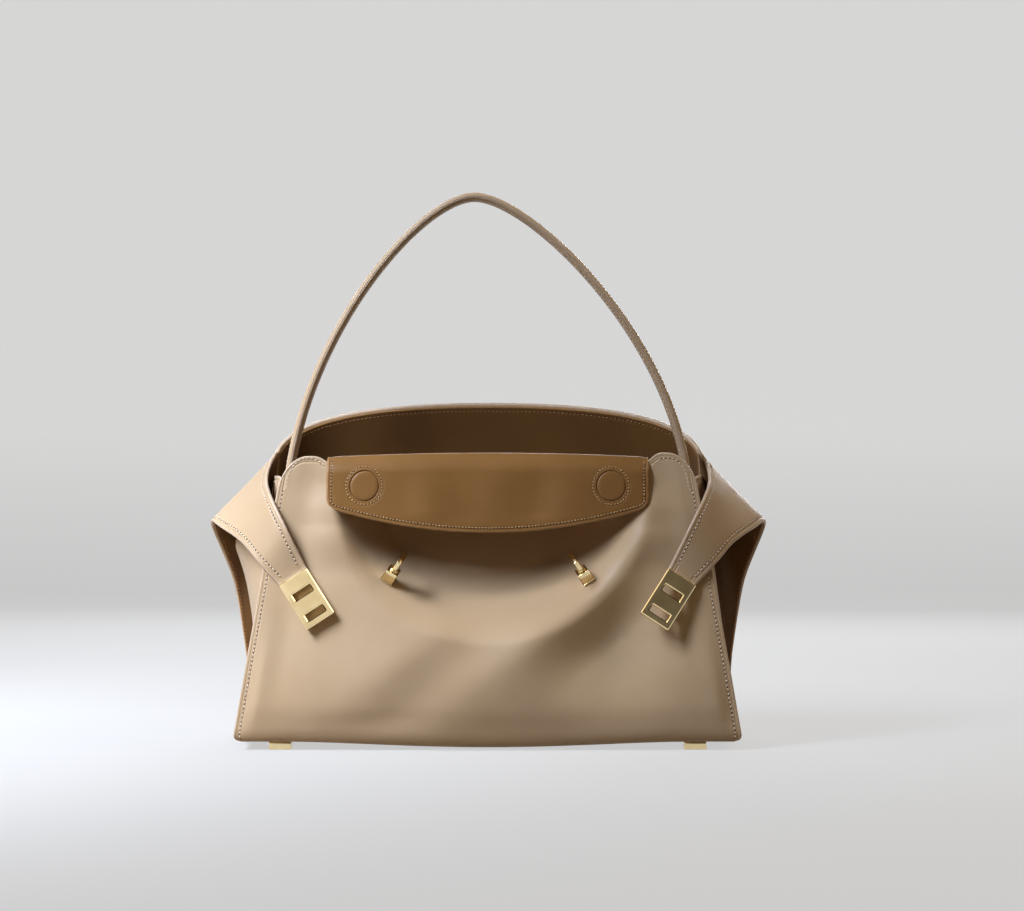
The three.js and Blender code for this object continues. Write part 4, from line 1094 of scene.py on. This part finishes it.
# Wing and strap of one side, in one band
def band_pieces(side, mirror):
    columns, rows = BAND_GRID
    along = np.linspace(0, 1 + (TONGUE + MOUTH_LEAD) / TIP_LENGTH, columns)
    width = band_width(along)
    up = graded(width, rows)
    relief = edge_relief(np.minimum(up, 1 - up) * width)
    places = laid(wing_surface, np.broadcast_to(along, up.shape), up)
    piece = sheet(side + "_band", places, relief, BAND_INNER, OUTSIDE, mirror)
    bend_strap(piece, side, "tan_leather", side + "_strap")
    inset = BAND_LINING_INSET / width
    up = mix(inset, 1 - inset, np.linspace(0, 1, BAND_LINING_ROWS)[:, None])
    places = laid(wing_surface, np.broadcast_to(along, up.shape), up)
    piece = sheet(side + "_band_inside", places, *BAND_LINING_PLY, INSIDE, mirror)
    bend_strap(piece, side, "brown_leather", side + "_wing_lining", side + "_strap_lining")
    along = np.linspace(*BAND_STITCH_ENDS, BAND_STITCH_POINTS)
    inset = STITCH_INSET / band_width(along)
    edges = [laid(wing_surface, along, up) for up in (1 - inset, inset)]
    for name, thread, offset, sign in (
        ("_band_stitches", TAN_THREAD, -STITCH_SEAT, 1),
        ("_band_inside_stitches", LINER_THREAD, BAND_LINING_PLY[1] + BAND_LINING_SEAT, -1),
    ):
        piece = stitches(side + name, [shifted(edge, offset, sign) for edge in edges], thread, mirror)
        bend_strap(piece, side, "tan_leather")


# Gusset of one side with its lining, and the handle's tab
def gusset_pieces(side, mirror):
    """The gusset with its lining and stitches; only the left one swells."""
    def surface(along, up):
        return gusset_shown(along, up, 0.0 if mirror else 1.0)

    columns, rows = GUSSET_GRID
    rows = rows_to_edge(0, BELOW_EDGE, rows, GUSSET_HEIGHT)
    along, up = np.meshgrid(np.linspace(0, 1, columns), rows)
    relief = edge_relief((1 - up) * GUSSET_HEIGHT)
    piece = sheet(side + "_gusset_leather", laid(surface, along, up), relief, GUSSET_INNER, OUTSIDE, mirror)
    dress(piece, "bag", "tan_leather", side + "_gusset")
    columns, rows = GUSSET_LINING_GRID
    low = (FLOOR_TOP + SEAM_FIT - PANEL_LOW) / (GUSSET_HEIGHT - PANEL_LOW)
    rows = np.linspace(low, GUSSET_LINING_TOP, rows)
    along, up = np.meshgrid(np.linspace(*GUSSET_LINING_ENDS, columns), rows)
    piece = sheet(side + "_gusset_inside", laid(surface, along, up), *GUSSET_LINING_PLY, INSIDE, mirror)
    dress(piece, "bag", "brown_leather", side + "_gusset_lining")
    along = np.linspace(*GUSSET_STITCH_ENDS, GUSSET_STITCH_POINTS)
    places = laid(surface, along, np.full_like(along, 1 - STITCH_INSET / GUSSET_HEIGHT))
    piece = stitches(side + "_gusset_stitches", [shifted(places, -STITCH_SEAT)], TAN_THREAD, mirror)
    dress(piece, "bag", "tan_leather")


gusset_depth = np.linalg.norm(gusset_at(0.0, GUSSET_HEIGHT) - gusset_at(1.0, GUSSET_HEIGHT))
tab_top = (PIVOT_HEIGHT - PANEL_LOW) / (GUSSET_HEIGHT - PANEL_LOW)


def tab_at(across, drop):
    """Place and normal on the gusset at distances from the tab's middle line and below its top."""
    return laid(gusset_surface, 0.5 + across / gusset_depth, tab_top - drop / GUSSET_HEIGHT)


def tab_length(across):
    return TAB_LENGTH - TAB_ROUNDING * quarter((np.abs(across) - TAB_WIDTH / 2 + TAB_CORNER) / TAB_CORNER)


def tab_pieces(side, mirror):
    shares, rises = (graded(size, count)[:, 0] for size, count in zip((TAB_WIDTH, TAB_LENGTH), TAB_GRID))
    across, up = np.meshgrid((shares - 0.5) * TAB_WIDTH, rises)
    relief = edge_relief(np.minimum(TAB_WIDTH / 2 - np.abs(across), up * TAB_LENGTH))
    places = tab_at(across, (1 - up) * tab_length(across))
    piece = sheet(side + "_tab", places, -STRAP, TAB_INNER - relief, OUTSIDE, mirror)
    dress(piece, "bag", "tan_leather", side + "_handle_tab")
    reach = TAB_WIDTH / 2 - STITCH_INSET
    bottom = np.linspace(-reach, reach, TAB_STITCH_POINTS)
    down = np.linspace(TAB_STITCH_TOP, tab_length(reach) - STITCH_INSET, TAB_STITCH_POINTS)
    across = np.concatenate([np.full_like(down, -reach), bottom, np.full_like(down, reach)])
    drop = np.concatenate([down, tab_length(bottom) - STITCH_INSET, down[::-1]])
    line = shifted(tab_at(across, drop), TAB_INNER + FRONT_STITCH_SEAT, -1)
    dress(stitches(side + "_tab_stitches", [line], TAN_THREAD, mirror), "bag", "tan_leather")


# Flap, which turns over the front edge: its lining shows while it hangs down
flap_fold = np.array([FLAP_FOLD_BACK - FRONT_TOP_REACH, FRONT_HEIGHT + FLAP_FOLD_HEIGHT])
flap_turn = flap_fold - FLAP_BEND
flap_end = flap_fold - np.array([FLAP_HANG, FLAP_LENGTH])
flap_straight = mix(flap_turn, flap_end, FLAP_BEND / FLAP_LENGTH)
flap_bend = bezier((flap_fold, flap_turn, flap_straight), np.linspace(0, 1, CURVE_POINTS))
flap_fall = mix(flap_straight, flap_end, np.linspace(FLAP_FALL_START, 1, CURVE_POINTS)[:, None])
flap_path = resample(np.vstack([flap_bend, flap_fall]), FLAP_PATH_POINTS)
flap_path_length = path_length(flap_path)
flap_root = np.vstack([
    mix(np.array(FLAP_ROOT[0]), np.array(FLAP_ROOT[1]), np.linspace(0, *FLAP_ROOT_STEPS)[:, None]),
    bezier((FLAP_ROOT[1], *FLAP_ROOT_TURN, flap_fold), np.linspace(0, *FLAP_ROOT_TURN_STEPS)),
])


def flap_drop(across):
    """Length of the flap at a share of its half width."""
    rounding = FLAP_CORNER * quarter((np.abs(across) * HALF_FLAP - HALF_FLAP + FLAP_CORNER) / FLAP_CORNER)
    return (FLAP_LENGTH - FLAP_SHORTER_ENDS * across**2 - rounding) / FLAP_LENGTH * flap_path_length


def flap_crown(x):
    """The fold line rises slightly toward the middle."""
    return FLAP_CROWN * (1 - (x / HALF_FLAP) ** 2)


def flap_at(x, drop):
    """Middle of the flap at a distance from the bag's middle and a length below the fold line."""
    share = np.clip(drop / flap_path_length, 0, 1) * (len(flap_path) - 1)
    y, z = (np.interp(share, np.arange(len(flap_path)), flap_path[:, k]) for k in (0, 1))
    return stack(x, y, z + flap_crown(x) * fade(drop, 0, FLAP_CROWN_FADE))


def flap_laid(x, drop):
    """Points of the flap with their normals."""
    below = flap_at(x, np.minimum(drop + FLAP_NORMAL_STEP, flap_path_length))
    above = flap_at(x, np.maximum(drop - FLAP_NORMAL_STEP, 0))
    return flap_at(x, drop), unit(np.cross(below - above, np.array([1.0, 0, 0])))


def flap_waves(x, drop):
    """Broad soft waves across the hanging flap."""
    height, length, shift = FINE_WAVE
    wave = height * np.sin(x / length + shift)
    height, length, shift = BROAD_WAVE
    wave = wave + height * np.sin(x / length + drop / WAVE_SLANT + shift)
    reach = smooth(drop, *WAVE_RISE_SPAN) * fade(np.abs(x), *WAVE_SIDE_SPAN)
    return wave * reach * fade(drop, *WAVE_FADE_SPAN)


def magnet_patch(shape, sign):
    """Adds a sewn disc of the flap's leather over one magnet, with a turned groove round it."""
    rings = np.concatenate([np.linspace(*ring) for ring in MAGNET_RINGS])
    ring, turn = np.meshgrid(rings, np.linspace(0, 2 * math.pi, MAGNET_TURNS))
    height = FLAP_HALF_THICKNESS + MAGNET_PATCH_RISE + MAGNET_CROWN * fade(ring, *MAGNET_CROWN_SPAN)
    height = height - MAGNET_GROOVE_DEPTH * bump(ring, MAGNET_GROOVE, MAGNET_GROOVE_WIDTH)
    height = height - MAGNET_RING_DEPTH * bump(ring, MAGNET_RING, MAGNET_RING_WIDTH)
    height = height - MAGNET_CROWN * smooth(ring, MAGNET_PATCH - MAGNET_PATCH_EDGE, MAGNET_PATCH)
    places = flap_laid(sign * MAGNET_X + ring * np.cos(turn), MAGNET_DOWN + ring * np.sin(turn))
    shape.add(shifted(places, height[..., None])[0], quads(*ring.shape))


def flap_pieces():
    columns, rows = FLAP_GRID
    across = graded(2 * HALF_FLAP, columns)[:, 0] * 2 - 1
    down = rows_to_edge(0, FLAP_EVEN_ROWS, rows, FLAP_EDGE_LENGTH)[::-1]
    across, down = np.meshgrid(across, down)
    x, drop = across * HALF_FLAP, down * flap_drop(across)
    to_end = HALF_FLAP - np.abs(x)
    ring = np.hypot(np.abs(x) - MAGNET_X, drop - MAGNET_DOWN)
    relief = edge_relief(np.minimum(to_end, flap_drop(across) - drop), FLAP_STITCH_INSET)
    relief = FLAP_HALF_THICKNESS + relief - MAGNET_BED * fade(ring, *MAGNET_BED_SPAN) + flap_waves(x, drop)
    root = flap_root[::-1]
    along = np.gradient(root, axis=0)
    outward = unit(np.stack([-along[:, 1], along[:, 0]], axis=-1))
    lifted = root[:, 1:] + flap_crown(x[:1]) * smooth(root[:, 1:], root[-1, 1], flap_fold[1])
    root_points = stack(x[:1], root[:, :1], lifted)
    root_normals = stack(np.zeros_like(x[:1]), outward[:, :1], outward[:, 1:])
    root_outer, root_inner = FLAP_ROOT_PLY
    root_relief = edge_relief(to_end[:1], FLAP_STITCH_INSET)
    root_relief = root_relief + np.linspace(FLAP_HALF_THICKNESS, root_outer, len(root))[:, None]
    points, normals = flap_laid(x, drop)
    inner = np.concatenate([np.full_like(relief, FLAP_FACE_INNER), np.full_like(root_relief, root_inner)])
    shape = Shape()
    ply(
        shape,
        np.concatenate([points, root_points]),
        np.concatenate([normals, root_normals]),
        np.concatenate([relief, root_relief]),
        inner,
    )
    for sign in (-1, 1):
        magnet_patch(shape, sign)
    bend_flap(shape.make("flap_face", [BROWN, BROWN_EDGE]), "brown_leather", "flap_lining")
    across, down = grid(*FLAP_UNDER_GRID, 1, 0)
    across = across * (1 - FLAP_UNDER_INSET / HALF_FLAP)
    drop = FLAP_UNDER_TOP + down * (flap_drop(across) - FLAP_UNDER_INSET - FLAP_UNDER_TOP)
    piece = sheet("flap_under", flap_laid(across * HALF_FLAP, drop), *FLAP_UNDER_PLY)
    bend_flap(piece, "tan_leather", "flap_leather")


def flap_stitches():
    along, beside = FLAP_STITCH_POINTS
    end = HALF_FLAP - FLAP_STITCH_INSET
    reach = np.linspace(-end, end, along)
    side = np.linspace(FLAP_STITCH_TOP, flap_drop(1.0) - FLAP_STITCH_INSET, beside)
    x = np.concatenate([np.full_like(side, -end), reach, np.full_like(side, end)])
    drop = np.concatenate([side, flap_drop(reach / HALF_FLAP) - FLAP_STITCH_INSET, side[::-1]])
    places = flap_laid(x, drop)
    fine = (FLAP_PITCH, FLAP_THREAD)
    lines = [
        (*shifted(places, FLAP_HALF_THICKNESS - FLAP_STITCH_SEAT), *fine),
        (*shifted(places, -FLAP_HALF_THICKNESS, -1), *fine),
    ]
    turn = np.linspace(0, 2 * math.pi, MAGNET_STITCH_POINTS)
    for sign in (-1, 1):
        x = sign * MAGNET_X + MAGNET_RING * np.cos(turn)
        places = flap_laid(x, MAGNET_DOWN + MAGNET_RING * np.sin(turn))
        lines.append((*shifted(places, FLAP_HALF_THICKNESS - MAGNET_STITCH_SEAT), *fine, MAGNET_SLANT))
    dress(stitches("flap_stitches", lines, BROWN_THREAD), "flap", "brown_leather")


# Handle
def handle_path():
    beside = 0.5 + HANDLE_KNEE * HANDLE_WIDTH / 2 / gusset_depth
    face = shifted(laid(gusset_surface, beside, tab_top), TAB_INNER)[0]
    half_span = -face[0] - HANDLE_KNEE * HANDLE_THICKNESS / 2 - HANDLE_SIDE_FIT
    y = gusset_at(0.5, PIVOT_HEIGHT)[1]
    rise = HANDLE_APEX_HEIGHT - PIVOT_HEIGHT
    apex = np.array([HANDLE_APEX_SHIFT, y, HANDLE_APEX_HEIGHT])
    legs = []
    for side in (-1, 1):
        foot = np.array([side * half_span, y, PIVOT_HEIGHT])
        foot_up = foot + np.array([-side * rise * LEG_SLOPE, 0, rise * LEG_REACH])
        end = foot + np.array([side * HANDLE_LAP * LEG_SLOPE, 0, -HANDLE_LAP])
        shoulder = apex + np.array([side * half_span * SHOULDER_REACH, 0, 0])
        curve = bezier((foot, foot_up, shoulder, apex), np.linspace(0, 1, CURVE_POINTS))
        legs.append(np.vstack([mix(end, foot, np.linspace(0, *HANDLE_LAP_STEPS)[:, None]), curve]))
    return resample(np.vstack([legs[0], legs[1][::-1][1:]]), HANDLE_POINTS)


def handle_crown(share):
    """Height of a handle half's rounded face, as a share of its thickness, at a share of the half width."""
    return CROWN_LOW + (1 - CROWN_LOW) * np.sqrt(1 - (share / CROWN_WIDTH) ** CROWN_POWER)


def handle_half(path, aside, outward, sign):
    """One half of the handle, whose section goes from one seam edge over its face to the other."""
    face = [(a, float(handle_crown(a))) for a in np.linspace(CROWN_END, 0, CROWN_POINTS)]
    right = [*HANDLE_EDGE, *face]
    outline = np.array(right + [(-a, b) for a, b in right[::-1][1:]])
    section = outline * np.array([HANDLE_WIDTH / 2, sign * HANDLE_THICKNESS / 2])
    rings = path[:, None] + section[None, :, :1] * aside + section[None, :, 1:] * outward[:, None]
    rows, columns = rings.shape[:2]
    faces = quads(rows, columns)
    strip = np.tile(np.arange(columns - 1), rows - 1)
    painted = (strip < HANDLE_PAINTED) | (strip >= columns - 1 - HANDLE_PAINTED)
    last = np.arange(rows - 1) * columns
    seam = np.stack([last + columns - 1, last, last + columns, last + 2 * columns - 1], axis=-1)
    ends = [np.arange(columns)[::-1], np.arange(columns) + (rows - 1) * columns]
    shape = Shape()
    shape.add(rings, faces[~painted], 0, sign < 0)
    for rest in (faces[painted], seam, ends):
        shape.join(rest, 1, sign < 0)
    return shape


def handle_pieces():
    path = handle_path()
    aside = np.array([0.0, 1.0, 0.0])
    outward = np.cross(unit(np.gradient(path, axis=0)), aside)
    outward = outward * np.sign(outward[len(path) // 2, 2])
    share, step = HANDLE_STITCH_AT, HANDLE_SLOPE_STEP
    slope = (handle_crown(share - step) - handle_crown(share + step)) / (2 * step)
    slope = slope * HANDLE_THICKNESS / HANDLE_WIDTH
    width, rise = share * HANDLE_WIDTH / 2, handle_crown(share) * HANDLE_THICKNESS / 2
    lines = []
    for half, sign in (("upper", 1), ("under", -1)):
        piece = handle_half(path, aside, outward, sign).make("handle_" + half, OUTSIDE)
        dress(piece, "handle", "tan_leather", "handle_leather_" + half)
        for end in (-1, 1):
            normals = unit(outward * sign + aside * end * slope)
            line = path + aside * end * width + outward * sign * rise - normals * HANDLE_STITCH_SEAT
            lines.append((line[HANDLE_STITCHED], normals[HANDLE_STITCHED]))
    dress(stitches("handle_stitches", lines), "handle", "tan_leather")


# Base and feet
def base_places(x, y):
    x, y = np.meshgrid(x, y)
    points = stack(x, y, -sag(x))
    return points, np.zeros_like(points) + np.array([0, 0, 1.0])


def base_pieces():
    columns, rows = BASE_GRID
    x = (graded(BASE_WIDTH, columns)[:, 0] * 2 - 1) * (BASE_WIDTH / 2 - LOW_CORNER)
    y = mix(BASE_WELT - BASE_DEPTH / 2, BASE_DEPTH / 2 - LEATHER, graded(BASE_DEPTH, rows)[:, 0])
    dress(sheet("base_leather", base_places(x, y), LEATHER, 0), "bag", "tan_leather", "base_panel")
    columns, rows = BASE_LINING_GRID
    half_width = BASE_WIDTH / 2 - SEAM_MARGIN - STRAP - SEAM_FIT
    half_depth = BASE_DEPTH / 2 - LEATHER - 2 * SEAM_FIT
    x = np.linspace(-half_width, half_width, columns)
    y = np.linspace(-half_depth, half_depth, rows)
    piece = sheet("base_inside", base_places(x, y), FLOOR_TOP, BOARD_TOP + FIT, INSIDE)
    dress(piece, "bag", "brown_leather", "base_lining")


def block(size, low, bevel):
    """Points and faces of a block with rounded edges, standing on a height."""
    made = bmesh.new()
    bmesh.ops.create_cube(made, size=1.0)
    for vert in made.verts:
        vert.co = Vector((vert.co.x * size[0], vert.co.y * size[1], (vert.co.z + 0.5) * size[2] + low))
    edges = list(made.edges)
    bmesh.ops.bevel(
        made, geom=edges, offset=bevel, segments=BEVEL_SEGMENTS, profile=BEVEL_PROFILE, affect="EDGES"
    )
    made.verts.index_update()
    points = [tuple(v.co) for v in made.verts]
    faces = [tuple(v.index for v in f.verts) for f in made.faces]
    made.free()
    return np.array(points), faces


def feet():
    for side_x, name_x in ((-1, "left"), (1, "right")):
        for side_y, name_y in ((-1, "front"), (1, "back")):
            points, faces = block((FOOT_WIDTH, FOOT_WIDTH, FOOT_HEIGHT - FIT), -FOOT_HEIGHT, FOOT_BEVEL)
            shape = Shape()
            shape.add(points + np.array([side_x * FOOT_X, side_y * FOOT_Y, 0]), faces)
            node = f"foot_{name_y}_{name_x}"
            piece = shape.make(node + "_block", [POLISHED], sharp=BLOCK_SHARP)
            dress(piece, "bag", "pale_gold", node)


# Metal strap tips and turn locks
def rounded_outline(width, height, radius, shift):
    points = []
    for cx, cy, first in ((1, 1, 0), (-1, 1, 90), (-1, -1, 180), (1, -1, 270)):
        for k in range(CORNER_STEPS + 1):
            angle = math.radians(first + 90 * k / CORNER_STEPS)
            x = cx * (width / 2 - radius) + radius * math.cos(angle)
            points.append((x, cy * (height / 2 - radius) + radius * math.sin(angle) + shift))
    return points


def tip_piece(side, mirror):
    """A flat plate with two slots: satin faces, and polished chamfers and walls."""
    borders = [(TIP_WIDTH, TIP_LENGTH, TIP_CORNER, 0.0, -TIP_CHAMFER)]
    for end in (-1, 1):
        shift = SLOT_SHIFT + end * SLOT_SPACING / 2
        borders.append((SLOT_LENGTH, SLOT_WIDTH, SLOT_CORNER, shift, TIP_CHAMFER))
    half = TIP_THICKNESS / 2
    shape = Shape()
    edges = []
    for width, length, radius, shift, chamfer in borders:
        corner = max(radius + chamfer, LEAST_CORNER)
        edge = rounded_outline(width + 2 * chamfer, length + 2 * chamfer, corner, shift)
        wall = rounded_outline(width, length, radius, shift)
        rings = [(edge, half), (wall, half - TIP_CHAMFER), (wall, TIP_CHAMFER - half), (edge, -half)]
        points = [(x, y, z) for outline, z in rings for x, y in outline]
        shape.add(in_frame(tip_frame, points), tube(len(rings), len(edge)), 1, chamfer < 0)
        edges.append([Vector((x, y, 0)) for x, y in edge])
    flat = [point for edge in edges for point in edge]
    faces = []
    for a, b, c in tessellate_polygon(edges):
        up = (flat[b] - flat[a]).cross(flat[c] - flat[a]).z > 0
        faces.append((a, b, c) if up else (a, c, b))
    for z, flip in ((half, False), (-half, True)):
        shape.add(in_frame(tip_frame, [(v.x, v.y, z) for v in flat]), faces, 0, flip)
    piece = shape.make(side + "_tip_plate", [GOLD, POLISHED], mirror, flat=(0, 1))
    dress(piece, side + "_strap", "pale_gold", side + "_tip")


def lock_pieces(side, mirror):
    collar_low = SEAM_FIT + LOCK_FLANGE_THICKNESS
    flange = ((LOCK_FLANGE, LOCK_FLANGE, LOCK_FLANGE_THICKNESS), SEAM_FIT)
    collar = ((LOCK_COLLAR, LOCK_COLLAR, LOCK_COLLAR_HEIGHT + COLLAR_SINK), collar_low - COLLAR_SINK)
    shape = Shape()
    for size, low in (flange, collar):
        points, faces = block(size, low, LOCK_BEVEL)
        shape.add(in_frame(lock_frame, points), faces)
    piece = shape.make(side + "_lock_mount", [POLISHED], mirror, sharp=BLOCK_SHARP)
    dress(piece, "bag", "pale_gold", side + "_lock_base")
    ring_low = collar_low + LOCK_COLLAR_HEIGHT + FIT
    ring_top = ring_low + SPINDLE_RING
    neck_top = ring_top + NECK
    rivet_top = -STRAP - 3 * SEAM_FIT - WASHER_THICKNESS - FIT
    rivet_low = rivet_top - SPINDLE_RING
    shaft, end = SPINDLE / 2, SPINDLE_END / 2
    profile = [
        (end - RIVET_CHAMFER, rivet_low),
        (end, rivet_low + RIVET_CHAMFER),
        (end, rivet_top),
        (shaft, rivet_top),
        (shaft, ring_low),
        (end - RING_CHAMFER, ring_low),
        (end, ring_low + RING_CHAMFER),
        (end, ring_top - RING_CHAMFER),
        (end - RING_CHAMFER, ring_top),
        *[(radius, ring_top + rise) for radius, rise in NECK_BEAD],
        (shaft, neck_top + PADDLE_SINK),
    ]
    angles = np.linspace(0, 2 * math.pi, LATHE_SIDES, endpoint=False)
    points = [(r * math.cos(a), r * math.sin(a), z) for r, z in profile for a in angles]
    shape = Shape()
    shape.add(in_frame(lock_frame, points), capped_tube(len(profile), LATHE_SIDES))
    points, faces = block((PADDLE_THICKNESS, PADDLE_WIDTH, PADDLE_HEIGHT), neck_top, PADDLE_BEVEL)
    shape.add(in_frame(lock_frame, points), faces)
    piece = shape.make(side + "_lock_paddle", [POLISHED], mirror, sharp=LOCK_SHARP)
    dress(piece, side + "_toggle", "pale_gold", side + "_lock_toggle")


front_leather()
front_inside()
front_stitches()
back_pieces()
for side, mirror in (("left", False), ("right", True)):
    band_pieces(side, mirror)
    gusset_pieces(side, mirror)
    tab_pieces(side, mirror)
    tip_piece(side, mirror)
    lock_pieces(side, mirror)
flap_pieces()
flap_stitches()
handle_pieces()
base_pieces()
feet()

# Every solid gets the material of its slot
SLOT_MATERIALS = {
    "tan_leather": TAN,
    "brown_leather": BROWN,
    "pale_gold": POLISHED,
    "steel": STEEL,
    "board": BOARD,
}
slot_of = {part["node"]: part["material_slot"] for part in frame["record"]["subparts"]}
for name, node in frame["nodes"].items():
    node.data.materials.clear()
    node.data.materials.append(SLOT_MATERIALS[slot_of[name]])


# Stage, light and camera
def stage_material():
    """Pale to the eye and in reflections, and darker for the light that it throws back on the object."""
    material, tree, coords = new_material("pale_stage")
    tree.nodes.remove(tree.nodes["Principled BSDF"])
    tones = tree.two_tone(tree.noise(coords, STAGE_SCALE), STAGE_LIGHT, STAGE_DARK)
    pale = tree.add("BsdfDiffuse", "BSDF", {"Color": tones})
    level = tree.add("SeparateXYZ", "Z", {"Vector": coords})
    strength = tree.ramp(level, FLOOR_GLOW, STAGE_GLOW, *GLOW_SPAN)
    glow = tree.add("Emission", "Emission", {"Strength": strength})
    seen = tree.add("AddShader", "Shader", {0: pale, 1: glow})
    thrown = tree.add("BsdfDiffuse", "BSDF", {"Color": colour(STAGE_THROWN)})
    rays = tree.nodes.new("ShaderNodeLightPath").outputs
    total = rays["Is Camera Ray"]
    for kind in ("Is Glossy Ray", "Is Transmission Ray"):
        total = tree.add("Math", "Value", {0: total, 1: rays[kind]}, operation="ADD", use_clamp=True)
    chosen = tree.add("MixShader", "Shader", {"Fac": total, 1: thrown, 2: seen})
    tree.fill(tree.nodes["Material Output"], {"Surface": chosen})
    return material


def stage_sheet():
    """A pale floor that curves up into a backdrop."""
    profile = [(STAGE_FRONT, 0.0), (STAGE_BEND_AT, 0.0)]
    for k in range(1, STAGE_BEND_STEPS + 1):
        angle = math.radians(90 * k / STAGE_BEND_STEPS)
        profile.append((STAGE_BEND_AT + STAGE_BEND * math.sin(angle), STAGE_BEND * (1 - math.cos(angle))))
    profile.append((STAGE_BEND_AT + STAGE_BEND, STAGE_TOP))
    points = [(x, y, z) for y, z in profile for x in (-STAGE_HALF_WIDTH, STAGE_HALF_WIDTH)]
    mesh = bpy.data.meshes.new("floor")
    mesh.from_pydata(points, [], quads(len(profile), 2).tolist())
    mesh.polygons.foreach_set("use_smooth", [True] * len(mesh.polygons))
    mesh.materials.append(stage_material())
    floor = bpy.data.objects.new("floor", mesh)
    bpy.context.scene.collection.objects.link(floor)


def lamp(name, place, aim, width, height, power, tint, spread):
    light = bpy.data.lights.new(name, "AREA")
    light.color = tint
    light.spread = math.radians(spread)
    light.shape = "RECTANGLE"
    light.size = width
    light.size_y = height
    light.energy = power
    holder = bpy.data.objects.new(name, light)
    holder.location = place
    holder.rotation_euler = (Vector(aim) - Vector(place)).to_track_quat("-Z", "Y").to_euler()
    holder.visible_camera = False
    bpy.context.scene.collection.objects.link(holder)


def studio_world():
    """A dim warm room for the light on the object; pale to the eye, and paler at the left in reflections."""
    world = bpy.data.worlds.new("studio")
    tree = Tree(world)
    room = tree.nodes["Background"]
    tree.fill(room, {"Color": ROOM_TINT, "Strength": ROOM_LEVEL})
    pale = tree.add("Background", "Background", {"Color": (1, 1, 1, 1), "Strength": STAGE_GLOW})
    side = tree.add("SeparateXYZ", "X", {"Vector": tree.add("TexCoord", "Generated", {})})
    level = tree.ramp(side, *MIRRORED_LEVELS, *MIRRORED_SPAN)
    mirrored = tree.add("Background", "Background", {"Color": MIRRORED_TINT, "Strength": level})
    rays = tree.nodes.new("ShaderNodeLightPath").outputs
    lit = {"Fac": rays["Is Glossy Ray"], 1: room.outputs["Background"], 2: mirrored}
    seen = {"Fac": rays["Is Camera Ray"], 1: tree.add("MixShader", "Shader", lit), 2: pale}
    tree.fill(tree.nodes["World Output"], {"Surface": tree.add("MixShader", "Shader", seen)})
    return world


stage_sheet()
for row in LAMPS:
    lamp(*row)
bpy.context.scene.world = studio_world()
bpy.context.scene.view_settings.view_transform = "Standard"

lens = bpy.data.cameras.new("camera")
lens.lens = LENS
lens.sensor_width = SENSOR
camera = bpy.data.objects.new("camera", lens)
camera.location = CAMERA_PLACE
camera.rotation_euler = (math.pi / 2, 0, 0)
bpy.context.scene.collection.objects.link(camera)
bpy.context.scene.camera = camera

bpy.context.view_layer.update()
